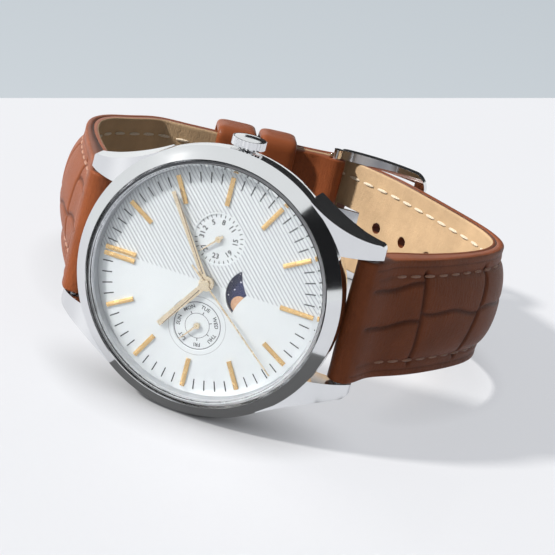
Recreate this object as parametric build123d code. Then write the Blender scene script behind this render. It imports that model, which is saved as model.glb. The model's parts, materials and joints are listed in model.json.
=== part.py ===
from build123d import *
from math import atan2, ceil, cos, degrees, hypot, radians, sin
import os

os.makedirs("parts", exist_ok=True)

# A round quartz dress watch with date, weekday and moon phase, on a buckled leather strap.
# Each piece is modelled in the watch's own axes: X to 3 o'clock, Y to 12 o'clock, Z out of the dial,
# with zero on the dial's face. The last section stands the watch on its 9 o'clock side.
# All sizes are in millimetres and all angles in degrees.

# Case
case_radius = 21.2
flank_top = 0.65
flank_height = 2.5
case_bottom = -6.4
case_foot_inset = 1.5
bezel_width = 1.9
bezel_rise = 1.45
bezel_chamfer = 0.35
bore_inset = 0.8
crystal_flange_reach = 0.25
crystal_flange_thickness = 0.4
girth_chamfer = 0.12
case_foot_radius = case_radius - case_foot_inset
bezel_inner_radius = case_radius - bezel_width
crystal_seat_radius = bezel_inner_radius - bezel_chamfer
back_bore_radius = bezel_inner_radius - bore_inset
crystal_flange_radius = back_bore_radius - crystal_flange_reach

# Crystal, gasket and rehaut
crystal_gasket_width = 0.35
crystal_underside = 1.35
crystal_thickness = 1.1
crystal_chamfer = 0.3
rehaut_top_width = 0.35
rehaut_foot_width = 0.55
rehaut_foot = -0.38
crystal_radius = crystal_seat_radius - crystal_gasket_width

# Lugs and spring bars
strap_width = 20.0
lug_clearance = 0.2
lug_tip_reach = 3.0
lug_bar_reach = 1.1
lug_bar_z = -5.3
lug_tip_width = 2.5
lug_waist_swell = 1.5
lug_waist_setback = 5.9
lug_root_angle = 35.774826
lug_crest_setback = 4.9
lug_crest_z = -1.0
lug_tip_top_z = -5.3
lug_tip_bottom_z = -7.1
lug_tip_radius = 0.9
lug_corner_radius = 1.3
lug_gap = strap_width + 2 * lug_clearance
lug_tip_y = case_radius + lug_tip_reach
lug_bar_y = case_radius + lug_bar_reach
lug_tip_x = lug_gap / 2 + lug_tip_width
bar_tube_radius = 0.75
bar_pin_radius = 0.42
bar_pin_reach = 1.1
bar_pin_hole_depth = 1.4
release_travel = 1.1
release_tab_radius = 0.38
release_tab_length = 2.5
release_tab_inset = 3.0
release_tab_angle = -62.0
release_end_room = 0.76
release_slot_depth = 3.0
running_gap = 0.05
fit_gap = 0.02

# Case back
back_thickness = 1.2
back_dome = 0.8
back_rim_height = 0.8
back_seat_step = 0.5
back_slope_width = 2.5
back_gasket_width = 0.35
back_gasket_height = 0.3

# Dial
dial_edge_gap = 0.35
dial_thickness = 0.4
dial_edge_width = 1.75
dial_edge_drop = 0.5
dial_bulge_share = 0.55
dial_bulge_drop_share = 0.3
dial_radius = back_bore_radius - dial_edge_gap
dial_flat_radius = dial_radius - dial_edge_width
dial_centre_hole = 1.05
dial_foot_radius = 0.35
dial_foot_circle = 11.9
dial_foot_depth = 1.0
dial_foot_angles = (100.0, 300.0)
subdial_offset = 7.07
subdial_radius = 3.9
subdial_depth = 0.12
subdial_pipe_hole = 0.45
window_arc_y = -7.25
window_arc_radius = 4.2
window_corner_x = 3.42
window_corner_y = -4.82
window_vertex_y = -6.41
window_lobe_sag = 0.25

# Hour markers
marker_subdial_gap = 1.53
marker_edge_gap = 1.15
marker_width = 0.72
marker_wall = 0.2
marker_height = 0.34
twelve_extra = 0.5
twelve_gap = 0.3
six_extra_inside = 0.6
six_extra_outside = 0.3
marker_inner_radius = subdial_offset + subdial_radius + marker_subdial_gap
marker_outer_radius = dial_radius - marker_edge_gap

# Hands
hour_hand_shortfall = 2.1
hour_hand_width = 1.15
minute_hand_shortfall = 2.1
minute_hand_width = 0.95
seconds_hand_shortfall = 0.1
seconds_hand_tail = 3.6
seconds_hand_width = 0.3
hand_tip_share = 0.72
hand_thickness = 0.14
hand_groove_depth = 0.05
hand_groove_share = 0.3
hand_hub_radius = 1.2
hour_hand_z = 0.42
minute_hand_z = 0.72
seconds_hand_z = 1.0
seconds_hub_height = 0.2
small_hand_z = 0.14
small_hand_width = 0.42
small_hand_tip_share = 0.25
small_hub_radius = 0.5
date_hand_length = 3.5
date_hand_tail = 0.9
day_hand_length = 3.6
shown_hour = 10
shown_minute = 9.25
shown_second = 36.5
shown_date = 27
shown_weekday = 6
days_in_month = 31
days_in_week = 7

# Movement plates
movement_radius = 13.2
plate_top = -1.9
plate_bottom = -4.0
plate_rim_width = 1.5
dial_rim_width = 0.6
bridge_top = -5.2
bridge_thickness = 0.5
holder_gap = 0.1
holder_top = -0.8
holder_bottom = -5.2
arbor_radius = 0.18
arbor_gap = 0.04
arbor_seat_depth = 0.32
motion_arbor_rise = 1.0
calendar_arbor_depth = 0.5

# Wheel train under the main plate
train_distance = 3.3
centre_wheel_teeth = 64
third_pinion_teeth = 8
third_wheel_teeth = 45
seconds_pinion_teeth = 6
seconds_wheel_teeth = 32
intermediate_pinion_teeth = 8
intermediate_wheel_teeth = 45
rotor_pinion_teeth = 6
rotor_distance = 2.04
third_direction = 250.0
intermediate_direction = 60.0
rotor_direction = 10.0
train_level_a = -4.35
train_level_b = -4.75
train_level_c = -5.1
train_wheel_thickness = 0.22
rotor_magnet_radius = 0.8
rotor_magnet_height = 0.26

# Motion works and calendar above the main plate
motion_distance = 2.88
motion_direction = 300.0
cannon_teeth = 12
minute_wheel_teeth = 36
minute_pinion_teeth = 10
hour_wheel_teeth = 40
calendar_distance = 5.04
date_driving_direction = 50.0
day_driving_direction = 215.0
hour_calendar_teeth = 24
driving_wheel_teeth = 48
motion_level_minute = -1.85
motion_level_hour = -1.62
driving_level = -1.4
star_level = -1.12
moon_level = -0.78
motion_wheel_thickness = 0.15
date_star_radius = 3.1
day_star_radius = 2.4
star_root_share = 0.86
day_star_root_share = 0.6
finger_width = 0.26
finger_overlap = 0.2
finger_post_radius = 0.4
moon_root_share = 0.92
moon_pivot_y = -7.08
moon_disc_radius = 4.6
moon_disc_teeth = 59
moon_radius = 1.35
moon_orbit = 2.54
moon_angle = 140.5
moon_relief = 0.03
cannon_pipe_radius = 0.45
cannon_bore_radius = 0.21
hour_pipe_radius = 0.8
tooth_tip_share = 0.45
tooth_root_share = 0.85

# Battery, coil and circuit
battery_radius = 3.95
battery_height = 2.1
battery_x = -5.6
battery_y = 6.6
battery_bottom = -5.9
clip_thickness = 0.15
clip_width = 3.0
board_thickness = 0.18
chip_size = 1.8
chip_height = 0.3
oscillator_radius = 0.5
oscillator_length = 5.0
oscillator_x = 5.2
oscillator_y = -6.6
coil_radius = 0.5
coil_length = 5.6
coil_core_length = 7.6
coil_core_radius = 0.2
coil_circle = 10.3
coil_direction = 36.8
stator_thickness = 0.25
stator_arm_width = 1.3
stator_eye_radius = 1.15
stator_gap = 0.12
screw_head_radius = 0.55
screw_head_height = 0.28
screw_shank_radius = 0.3
screw_length = 1.3
screw_circle = 12.35
screw_angles = (75.0, 170.0, 255.0, 340.0)
screw_slot_width = 0.15

# Crown, stem and keyless work
crown_radius = 2.65
crown_length = 1.3
crown_dome = 0.25
crown_flutes = 26
crown_flute_depth = 0.16
crown_gap = 0.15
crown_pull_travel = 0.9
crown_tube_radius = 1.2
crown_tube_bore = 0.8
crown_socket_depth = 0.9
crown_gasket_width = 0.3
crown_gasket_length = 0.4
stem_z = -3.1
stem_radius = 0.45
stem_square = 0.56
stem_inner_x = 7.3
setting_pinion_x = 8.0
setting_pinion_length = 1.2
setting_pinion_radius = 0.62
setting_pinion_teeth = 10
setting_pinion_root_share = 0.8
pinion_pocket_gap = 0.12
lever_pivot_x = 10.6
lever_pivot_y = 3.0
lever_thickness = 0.3
lever_width = 0.9
lever_z = -2.3
lever_pin_radius = 0.18
lever_pin_depth = 0.55
stem_groove_radius = 0.2
stem_groove_length = 0.5

# Strap
strap_thickness = 2.2
lining_thickness = 0.9
strap_taper = 1.6
strap_side_gap = 0.15
pad_length = 60.0
pad_height = 1.7
flat_crown = 0.08
edge_ease_length = 30.0
lug_roll_radius = 1.9
lug_start_angle = 32.0
loop_half_width = 36.8
loop_depth = 65.0
seam_angle = 21.5
pivot_y = -0.7
pivot_rise = 4.0
buckle_roll_radius = 1.7
seam_gap = 0.2
tail_length = 23.5
long_seam_start = 3.5
short_seam_start = 26.0
tail_corner = 4.5
fold_length = 19.0
hole_radius = 0.95
hole_pitch = 7.0
holes_before_tongue = 4
holes_after_tongue = 2
tongue_hole_offset = 5.0
strap_sections = 28
short_bend_share = 1.2
strap_end_width = strap_width - strap_taper

# Places that the outer faces pass, as shares of the loop's half width and depth
long_loop_shares = (
    (-0.69, 0.14),
    (-0.778, 0.229),
    (-0.868, 0.324),
    (-0.941, 0.424),
    (-0.989, 0.523),
    (-0.984, 0.605),
    (-0.919, 0.677),
    (-0.805, 0.743),
    (-0.653, 0.812),
)
short_loop_shares = (
    (0.709, 0.163),
    (0.788, 0.262),
    (0.875, 0.365),
    (0.948, 0.469),
    (0.981, 0.558),
    (0.957, 0.636),
    (0.893, 0.7),
)

# Places under the buckle, as shares of its length from its pivot
long_buckle_shares = (
    (-1.0992, 0.2241935),
    (-0.7430710, -0.0064516),
    (-0.3418323, -0.1909677),
    (-0.0331871, -0.2958065),
)

# Keepers
keeper_thickness = 1.4
keeper_clearance = 0.3
fixed_keeper_width = 6.8
fixed_keeper_place = 17.9
free_keeper_width = 6.4
free_keeper_place = 10.5
keeper_corner = 1.2
keeper_edge_chamfer = 0.5

# Buckle
buckle_length = 15.5
buckle_bar_drop = 0.2
buckle_arm_width = 1.6
buckle_side_gap = 0.15
buckle_thickness = 1.8
buckle_sag = 2.1
buckle_end_reach = 1.5
buckle_bar_width = 2.1
buckle_corner = 2.6
tongue_width = 1.9
tongue_thickness = 1.05
tongue_eye_radius = 1.3
tongue_overhang = 1.1
tongue_rest_gap = 0.08
tongue_hole_gap = 0.3
tongue_lift = 4.0
buckle_pin_gap = 0.05

# One overrun for every cut that passes right through
overrun = 1.0

BOTTOM = (Align.CENTER, Align.CENTER, Align.MIN)


def disc(radius, bottom, top, x=0, y=0):
    """round plate between two heights"""
    return Pos(x, y, bottom) * Cylinder(radius, top - bottom, align=BOTTOM)


def ring(outer, inner, bottom, top, x=0, y=0):
    """flat ring between two heights"""
    hole = disc(inner, bottom - overrun, top + overrun, x, y)
    return disc(outer, bottom, top, x, y) - hole


def turned(points):
    """solid turned about the dial axis from a profile of radius and height"""
    profile = Plane.XZ * make_face(Polyline(*points, close=True))
    return revolve(profile, Axis.Z)


def polar(radius, angle, x=0, y=0):
    """point at a radius and an angle about a centre"""
    return (x + radius * cos(radians(angle)), y + radius * sin(radians(angle)))


def direction(start, end):
    """angle from one point to another"""
    return degrees(atan2(end[1] - start[1], end[0] - start[0]))


def distance(start, end):
    """distance between two points"""
    return hypot(end[0] - start[0], end[1] - start[1])


def toothed(teeth, pitch_radius, bottom, thickness, centre=(0, 0), phase=0):
    """wheel with pointed teeth, one of them pointing along the phase angle"""
    module = 2 * pitch_radius / teeth
    tip = pitch_radius + tooth_tip_share * module
    root = pitch_radius - tooth_root_share * module
    return star(teeth, tip, root, bottom, thickness, centre, phase)


def star(teeth, tip, root, bottom, thickness, centre=(0, 0), phase=0):
    """plate with a zigzag rim"""
    points = []
    for tooth in range(teeth):
        points.append(polar(tip, phase + 360 * tooth / teeth, *centre))
        points.append(polar(root, phase + 360 * (tooth + 1 / 2) / teeth, *centre))
    plate = extrude(make_face(Polyline(*points, close=True)), thickness)
    return Pos(0, 0, bottom) * plate


def meshed_phase(angle, teeth):
    """phase that puts a gap of the second wheel at a tooth of the first"""
    return angle + 180 + 180 / teeth


def capsule(start, end, width, bottom, thickness):
    """round ended bar between two points"""
    length = distance(start, end)
    bar = Rectangle(length, width) + Pos(-length / 2, 0) * Circle(width / 2)
    bar += Pos(length / 2, 0) * Circle(width / 2)
    middle = ((start[0] + end[0]) / 2, (start[1] + end[1]) / 2)
    return Pos(*middle, bottom) * Rot(0, 0, direction(start, end)) * extrude(bar, thickness)


# Case pieces

flank_bottom = flank_top - flank_height
bezel_top = flank_top + bezel_rise
crystal_top = crystal_underside + crystal_thickness
flange_underside = crystal_underside - crystal_flange_thickness
back_shelf = case_bottom + back_rim_height
case_back_bottom = case_bottom - back_dome - back_thickness / 2
back_seat_radius = back_bore_radius + back_seat_step
back_flat_radius = back_seat_radius - back_slope_width
band_core_radius = back_bore_radius - overrun


def lug_outline():
    """plan of one lug at 12 o'clock on the 3 o'clock side"""
    inner = lug_gap / 2
    root = polar(case_radius, lug_root_angle)
    waist = (lug_tip_x + lug_waist_swell, lug_tip_y - lug_waist_setback)
    corner_start = (lug_tip_x, lug_tip_y - lug_corner_radius)
    corner_end = (lug_tip_x - lug_corner_radius, lug_tip_y)
    edges = [
        Line((inner, 0), (root[0], 0)),
        Line((root[0], 0), root),
        ThreePointArc(root, waist, corner_start),
        RadiusArc(corner_start, corner_end, -lug_corner_radius),
        Line(corner_end, (inner, lug_tip_y)),
        Line((inner, lug_tip_y), (inner, 0)),
    ]
    return make_face(edges)


def lug_side():
    """side view of a lug, from the case down to its tip"""
    root_y = lug_tip_y / 2
    under_y = lug_bar_y - lug_roll_radius
    tip_top = (lug_tip_y - lug_tip_radius / 3, lug_tip_top_z)
    tip_bottom = (lug_tip_y - lug_tip_radius, lug_tip_bottom_z)
    tip_bulge = (lug_tip_y, (lug_tip_top_z + lug_tip_bottom_z) / 2)
    edges = [
        Line((root_y, flank_top), (root_y, case_bottom)),
        Line((root_y, case_bottom), (under_y, case_bottom)),
        Line((under_y, case_bottom), tip_bottom),
        ThreePointArc(tip_bottom, tip_bulge, tip_top),
        ThreePointArc(tip_top, (lug_tip_y - lug_crest_setback, lug_crest_z), (root_y, flank_top)),
    ]
    return make_face(edges)


def make_lugs():
    """four lugs, each the meeting of its plan and its side view"""
    reach = lug_tip_x + case_radius
    plan = Pos(0, 0, -reach / 2) * extrude(lug_outline(), reach)
    side = extrude(Plane.YZ * lug_side(), reach)
    lug = plan & side
    lug_pair = lug + mirror(lug, Plane.YZ)
    return lug_pair + mirror(lug_pair, Plane.XZ)


def case_middle():
    """case band, bezel and lugs in one polished piece"""
    undercut_mid = ((case_radius * 2 + case_foot_radius) / 3, (flank_bottom + case_bottom) / 2)
    band = turned(
        (
            (band_core_radius, case_bottom),
            (case_foot_radius, case_bottom),
            undercut_mid,
            (case_radius, flank_bottom),
            (case_radius, flank_top - girth_chamfer),
            (case_radius - girth_chamfer, flank_top),
            (bezel_inner_radius, bezel_top),
            (crystal_seat_radius, bezel_top - bezel_chamfer),
            (crystal_seat_radius, crystal_underside),
            (crystal_flange_radius, crystal_underside),
            (crystal_flange_radius, flange_underside),
            (band_core_radius, flange_underside),
        )
    )
    body = band + make_lugs()
    body -= disc(back_bore_radius, back_shelf - overrun, flange_underside)
    body -= disc(crystal_flange_radius, flange_underside - overrun, crystal_underside)
    body -= disc(back_seat_radius, case_bottom - overrun, back_shelf)
    tube_length = case_radius
    body -= Pos(0, 0, stem_z) * Rot(0, 90, 0) * Cylinder(crown_tube_radius, tube_length, align=BOTTOM)
    for y in (lug_bar_y, -lug_bar_y):
        hole_length = lug_gap + 2 * bar_pin_hole_depth
        hole = Rot(0, 90, 0) * Cylinder(bar_pin_radius + running_gap, hole_length)
        body -= Pos(0, y, lug_bar_z) * hole
    return body


def crystal():
    """flat sapphire with a bevelled edge"""
    return turned(
        (
            (0, crystal_underside),
            (crystal_radius, crystal_underside),
            (crystal_radius, crystal_top - crystal_chamfer),
            (crystal_radius - crystal_chamfer, crystal_top),
            (0, crystal_top),
        )
    )


def crystal_gasket():
    """dark ring pressed between the crystal and its seat"""
    return ring(crystal_seat_radius, crystal_radius, crystal_underside, bezel_top - bezel_chamfer)


def rehaut():
    """sloping ring between the crystal and the dial"""
    return turned(
        (
            (back_bore_radius - rehaut_foot_width, rehaut_foot),
            (back_bore_radius, rehaut_foot),
            (back_bore_radius, flange_underside),
            (back_bore_radius - rehaut_top_width, flange_underside),
        )
    )


def case_back():
    """domed snap back with its rim"""
    floor = case_bottom - back_dome / 4
    lip = back_bore_radius - back_gasket_width
    return turned(
        (
            (0, case_back_bottom),
            (back_flat_radius, case_back_bottom),
            (back_seat_radius - fit_gap, case_bottom - back_dome / 2),
            (back_seat_radius - fit_gap, back_shelf - back_gasket_height),
            (lip, back_shelf - back_gasket_height),
            (lip, floor),
            (0, floor),
        )
    )


def case_back_gasket():
    """seal between the back and the shelf of the case"""
    outer = back_seat_radius - fit_gap
    return ring(outer, outer - back_gasket_width, back_shelf - back_gasket_height, back_shelf)


# Spring bars with a sliding release pin

bar_half = strap_width / 2 - running_gap
release_bore_radius = bar_pin_radius + running_gap
release_tab_x = release_tab_inset - strap_width / 2
release_inner_x = release_tab_x + release_travel + release_tab_radius + release_end_room


def along_x(radius, start, end, y=0, z=0):
    """round bar along X"""
    return Pos(start, y, z) * Rot(0, 90, 0) * Cylinder(radius, end - start, align=BOTTOM)


def tab_place(sign):
    """place and direction of a release tab on the bar at 12 (1) or 6 (-1)"""
    angle = release_tab_angle if sign < 0 else 180 - release_tab_angle
    return Pos(release_tab_x, sign * lug_bar_y, lug_bar_z) * Rot(angle - 90, 0, 0)


def tab_slot(sign, reach, half_width, side):
    """room in which a release tab slides"""
    end = release_travel + side
    slot = Box(end + side, 2 * half_width, reach, align=(Align.MIN, Align.CENTER, Align.MIN))
    return tab_place(sign) * Pos(-side, 0, 0) * slot


def spring_bar(sign):
    """tube with one fixed pin, bored for the release pin"""
    y = sign * lug_bar_y
    bar = along_x(bar_tube_radius, -bar_half, bar_half, y, lug_bar_z)
    bar += along_x(bar_pin_radius, bar_half, bar_half + bar_pin_reach, y, lug_bar_z)
    bar -= along_x(release_bore_radius, -bar_half - overrun, release_inner_x, y, lug_bar_z)
    tab_side = release_tab_radius + running_gap
    return bar - tab_slot(sign, bar_tube_radius + overrun, tab_side, tab_side)


def release_pin(sign):
    """sliding pin of a quick release bar with its thumb tab"""
    y = sign * lug_bar_y
    pin_end = release_tab_x + release_tab_radius
    pin = along_x(bar_pin_radius, -bar_half - bar_pin_reach, pin_end, y, lug_bar_z)
    tab = tab_place(sign) * Cylinder(release_tab_radius, release_tab_length, align=BOTTOM)
    return pin + tab


# Dial

def moon_window():
    """fan shaped opening with two lobes below"""
    top = window_arc_y + window_arc_radius
    left = (-window_corner_x, window_corner_y)
    right = (window_corner_x, window_corner_y)
    vertex = (0, window_vertex_y)
    lobe_x = window_corner_x / 2
    lobe_y = (window_corner_y + window_vertex_y) / 2 + window_lobe_sag
    edges = [
        ThreePointArc(left, (0, top), right),
        ThreePointArc(right, (lobe_x, lobe_y), vertex),
        ThreePointArc(vertex, (-lobe_x, lobe_y), left),
    ]
    depth = dial_thickness + 2 * overrun
    return Pos(0, 0, -dial_thickness - overrun) * extrude(make_face(edges), depth)


def dial_plate():
    """dial with a falling edge, two sunk subdials, the window and two feet"""
    edge_mid = (
        dial_flat_radius + dial_edge_width * dial_bulge_share,
        -dial_edge_drop * dial_bulge_drop_share,
    )
    dial = turned(
        (
            (0, -dial_thickness),
            (0, 0),
            (dial_flat_radius, 0),
            edge_mid,
            (dial_radius, -dial_edge_drop),
            (dial_radius, holder_top),
            (dial_flat_radius, -dial_thickness),
        )
    )
    dial -= disc(dial_centre_hole, -dial_thickness - overrun, overrun)
    for x in (subdial_offset, -subdial_offset):
        dial -= disc(subdial_radius, -subdial_depth, overrun, x)
        dial -= disc(subdial_pipe_hole, -dial_thickness - overrun, overrun, x)
    dial -= moon_window()
    for angle in dial_foot_angles:
        foot = polar(dial_foot_circle, angle)
        dial += disc(dial_foot_radius, plate_top - dial_foot_depth, -dial_thickness, *foot)
    return dial


def marker(inner, outer):
    """roof shaped baton standing at 12 o'clock"""
    half = marker_width / 2
    section = Plane.XZ * make_face(
        Polyline(
            (-half, 0),
            (half, 0),
            (half, marker_wall),
            (0, marker_height),
            (-half, marker_wall),
            close=True,
        )
    )
    return Pos(0, inner, 0) * extrude(section, -(outer - inner))


def hour_markers():
    """twelve hours: a double baton at 12, a longer one at 6, ten alike"""
    batons = []
    for hour in range(1, 12):
        if hour == 6:
            baton = marker(marker_inner_radius - six_extra_inside, marker_outer_radius + six_extra_outside)
        else:
            baton = marker(marker_inner_radius, marker_outer_radius)
        batons.append(Rot(0, 0, -30 * hour) * baton)
    offset = (marker_width + twelve_gap) / 2
    for x in (offset, -offset):
        batons.append(Pos(x, 0, 0) * marker(marker_inner_radius - twelve_extra, marker_outer_radius))
    return Compound(children=batons)


# Hands

def hand_blade(length, width, tip_share, tail):
    """tapered blade from its tail to its tip along 12 o'clock"""
    half = width / 2
    tip = half * tip_share
    return make_face(Polyline((-half, -tail), (half, -tail), (tip, length), (-tip, length), close=True))


def hand(length, width, tip_share, tail, hub, bore, level, angle):
    """hand with its hub, turned clockwise from 12 to an angle"""
    plan = hand_blade(length, width, tip_share, tail) + Circle(hub)
    body = extrude(plan, hand_thickness)
    groove_start = hub + width / 2
    groove_length = length - groove_start - width / 2
    groove = Box(width * hand_groove_share, groove_length, hand_groove_depth, align=BOTTOM)
    groove_y = groove_start + groove_length / 2
    body -= Pos(0, groove_y, hand_thickness - hand_groove_depth) * groove
    if bore:
        body -= Pos(0, 0, -overrun) * Cylinder(bore, hand_thickness + 2 * overrun, align=BOTTOM)
    return Pos(0, 0, level) * Rot(0, 0, -angle) * body


hour_hand_length = marker_inner_radius - hour_hand_shortfall
minute_hand_length = marker_outer_radius - minute_hand_shortfall
seconds_hand_length = marker_outer_radius - seconds_hand_shortfall
minute_angle = 6 * shown_minute
hour_angle = 30 * (shown_hour + shown_minute / 60)
seconds_angle = 6 * shown_second
date_angle = 360 * (shown_date % days_in_month) / days_in_month
day_angle = 360 * shown_weekday / days_in_week


def hour_hand():
    """hour hand"""
    return hand(hour_hand_length, hour_hand_width, hand_tip_share, 0, hand_hub_radius,
                hour_pipe_radius, hour_hand_z, hour_angle)


def minute_hand():
    """minute hand"""
    return hand(minute_hand_length, minute_hand_width, hand_tip_share, 0, hand_hub_radius,
                cannon_pipe_radius, minute_hand_z, minute_angle)


def seconds_hand():
    """thin seconds hand with a tail and a closed hub"""
    body = hand(seconds_hand_length, seconds_hand_width, hand_tip_share, seconds_hand_tail,
                hand_hub_radius / 2, 0, seconds_hand_z, seconds_angle)
    return body + disc(hand_hub_radius / 2, seconds_hand_z, seconds_hand_z + seconds_hub_height)


def small_hand(length, tail, angle, x):
    """subdial hand on its own arbor"""
    body = hand(length, small_hand_width, small_hand_tip_share, tail, small_hub_radius,
                arbor_radius, small_hand_z, angle)
    return Pos(x, 0, 0) * body


# Movement

third_centre = polar(train_distance, third_direction)
intermediate_centre = polar(train_distance, intermediate_direction)
rotor_centre = polar(rotor_distance, rotor_direction, *intermediate_centre)
motion_centre = polar(motion_distance, motion_direction)
date_driving_centre = polar(calendar_distance, date_driving_direction)
day_driving_centre = polar(calendar_distance, day_driving_direction)
date_centre = (subdial_offset, 0)
day_centre = (-subdial_offset, 0)
moon_centre = (0, moon_pivot_y)
coil_centre = polar(coil_circle, coil_direction)
coil_axis = coil_direction + 90
coil_ends = (
    polar(coil_core_length / 2, coil_axis, *coil_centre),
    polar(-coil_core_length / 2, coil_axis, *coil_centre),
)


def shared_radii(distance_between, first_teeth, second_teeth):
    """pitch radii of two meshing wheels"""
    total = first_teeth + second_teeth
    return distance_between * first_teeth / total, distance_between * second_teeth / total


centre_wheel_radius, third_pinion_radius = shared_radii(
    train_distance, centre_wheel_teeth, third_pinion_teeth)
third_wheel_radius, seconds_pinion_radius = shared_radii(
    train_distance, third_wheel_teeth, seconds_pinion_teeth)
seconds_wheel_radius, intermediate_pinion_radius = shared_radii(
    train_distance, seconds_wheel_teeth, intermediate_pinion_teeth)
intermediate_wheel_radius, rotor_pinion_radius = shared_radii(
    rotor_distance, intermediate_wheel_teeth, rotor_pinion_teeth)
minute_wheel_radius, cannon_radius = shared_radii(motion_distance, minute_wheel_teeth, cannon_teeth)
hour_wheel_radius, minute_pinion_radius = shared_radii(
    motion_distance, hour_wheel_teeth, minute_pinion_teeth)
driving_wheel_radius, hour_calendar_radius = shared_radii(
    calendar_distance, driving_wheel_teeth, hour_calendar_teeth)

bridge_bottom = bridge_top - bridge_thickness
plate_arbor_top = plate_bottom + arbor_seat_depth
motion_arbor_bottom = plate_bottom + motion_arbor_rise
calendar_arbor_bottom = plate_top - calendar_arbor_depth
bearing_radius = arbor_radius + arbor_gap


def plate_bearings():
    """arbor holes of the main plate"""
    places = (third_centre, intermediate_centre, rotor_centre, motion_centre, date_driving_centre,
              day_driving_centre, date_centre, day_centre, moon_centre)
    holes = []
    for x, y in places:
        holes.append(disc(bearing_radius, plate_bottom - overrun, plate_top + overrun, x, y))
    return holes


def main_plate():
    """plate that carries both sides of the movement, with its rims and pockets"""
    plate = disc(movement_radius, bridge_top, -dial_thickness)
    plate -= disc(movement_radius - plate_rim_width, bridge_top - overrun, plate_bottom)
    plate -= disc(movement_radius - dial_rim_width, plate_top, overrun)
    for hole in plate_bearings():
        plate -= hole
    plate -= disc(cannon_pipe_radius + running_gap, plate_bottom - overrun, plate_top + overrun)
    for angle in dial_foot_angles:
        x, y = polar(dial_foot_circle, angle)
        plate -= disc(dial_foot_radius + fit_gap, plate_bottom - overrun, plate_top + overrun, x, y)
    battery_top = battery_bottom + battery_height
    plate -= disc(battery_radius + holder_gap, battery_bottom - overrun, battery_top + holder_gap,
                  battery_x, battery_y)
    stem_room = stem_radius + running_gap
    plate -= along_x(stem_room, stem_inner_x - holder_gap, movement_radius + overrun, 0, stem_z)
    pocket_radius = setting_pinion_radius + pinion_pocket_gap
    pocket_length = setting_pinion_length + 2 * pinion_pocket_gap
    pocket = Box(pocket_length, 2 * pocket_radius, stem_z + pocket_radius - plate_bottom + overrun,
                 align=(Align.MIN, Align.CENTER, Align.MAX))
    plate -= Pos(setting_pinion_x - pinion_pocket_gap, 0, stem_z + pocket_radius) * pocket
    plate -= lever_pocket()
    for x, y in screw_places():
        plate -= disc(screw_shank_radius + fit_gap, bridge_top - overrun, bridge_top + screw_length, x, y)
    return plate


def screw_places():
    """places of the bridge screws"""
    return [polar(screw_circle, angle) for angle in screw_angles]


def train_bridge():
    """bridge that closes the wheel train"""
    bridge = disc(movement_radius, bridge_bottom, bridge_top)
    bridge -= disc(battery_radius + holder_gap, bridge_bottom - overrun, bridge_top + overrun,
                   battery_x, battery_y)
    for x, y in (third_centre, intermediate_centre, rotor_centre, (0, 0)):
        bridge -= disc(bearing_radius, bridge_bottom - overrun, bridge_top + overrun, x, y)
    for x, y in screw_places():
        bridge -= disc(screw_shank_radius + fit_gap, bridge_bottom - overrun, bridge_top + overrun, x, y)
    return bridge


def movement_screws():
    """slotted screws that hold the bridge"""
    screws = []
    for x, y in screw_places():
        screw = disc(screw_head_radius, bridge_bottom - screw_head_height, bridge_bottom, x, y)
        slot = Box(2 * screw_head_radius, screw_slot_width, screw_head_height, align=BOTTOM)
        slot_z = bridge_bottom - screw_head_height - screw_head_height / 2
        screw -= Pos(x, y, slot_z) * slot
        shank_top = bridge_top + screw_length - fit_gap
        screws.append(screw + disc(screw_shank_radius, bridge_bottom, shank_top, x, y))
    return Compound(children=screws)


def movement_holder():
    """plastic ring between the movement and the case"""
    inner = movement_radius + holder_gap
    outer = back_bore_radius - holder_gap
    holder = ring(outer, inner, holder_bottom, holder_top)
    tube_room = crown_tube_radius + holder_gap
    return holder - along_x(tube_room, movement_radius - overrun, case_radius, 0, stem_z)


def circuit_board():
    """thin board on the bridge beside the battery"""
    top = bridge_bottom
    board = disc(movement_radius - plate_rim_width, top - board_thickness, top)
    half = 2 * movement_radius
    far_half = Box(half, half, 2 * half, align=(Align.CENTER, Align.MIN, Align.MIN))
    board -= Pos(0, 0, top - half) * far_half
    for x, y in (third_centre, intermediate_centre, rotor_centre, (0, 0)):
        board -= disc(bearing_radius, top - overrun, top + overrun, x, y)
    return board


def board_chip():
    """driver chip on the circuit board"""
    top = bridge_bottom - board_thickness
    chip = Box(chip_size, chip_size, chip_height, align=(Align.CENTER, Align.CENTER, Align.MAX))
    return Pos(-oscillator_x, oscillator_y, top) * chip


def quartz_oscillator():
    """quartz in its can between plate and bridge"""
    z = bridge_top + oscillator_radius + holder_gap
    return along_x(oscillator_radius, oscillator_x - oscillator_length / 2,
                   oscillator_x + oscillator_length / 2, oscillator_y, z)


def coil():
    """wound coil with the ends of its core"""
    z = plate_bottom - coil_radius - fit_gap
    core_z = train_level_c + stator_thickness + coil_core_radius
    turn = Rot(0, 0, coil_axis)
    winding = Pos(*coil_centre, z) * turn * Rot(0, 90, 0) * Cylinder(coil_radius, coil_length)
    core = Box(coil_core_length, 2 * coil_core_radius, 2 * coil_core_radius)
    return winding + Pos(*coil_centre, core_z) * turn * core


def stator():
    """flat iron arms from the rotor to both ends of the coil"""
    bottom = train_level_c
    plate = disc(stator_eye_radius, bottom, bottom + stator_thickness, *rotor_centre)
    for end in coil_ends:
        plate += capsule(rotor_centre, end, stator_arm_width, bottom, stator_thickness)
    hole = rotor_magnet_radius + stator_gap
    return plate - disc(hole, bottom - overrun, bottom + overrun, *rotor_centre)


def battery():
    """silver oxide button cell with its stepped cap"""
    top = battery_bottom + battery_height
    step = battery_height / 4
    cell = disc(battery_radius, battery_bottom, top - step, battery_x, battery_y)
    return cell + disc(battery_radius - step, top - step, top, battery_x, battery_y)


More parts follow.
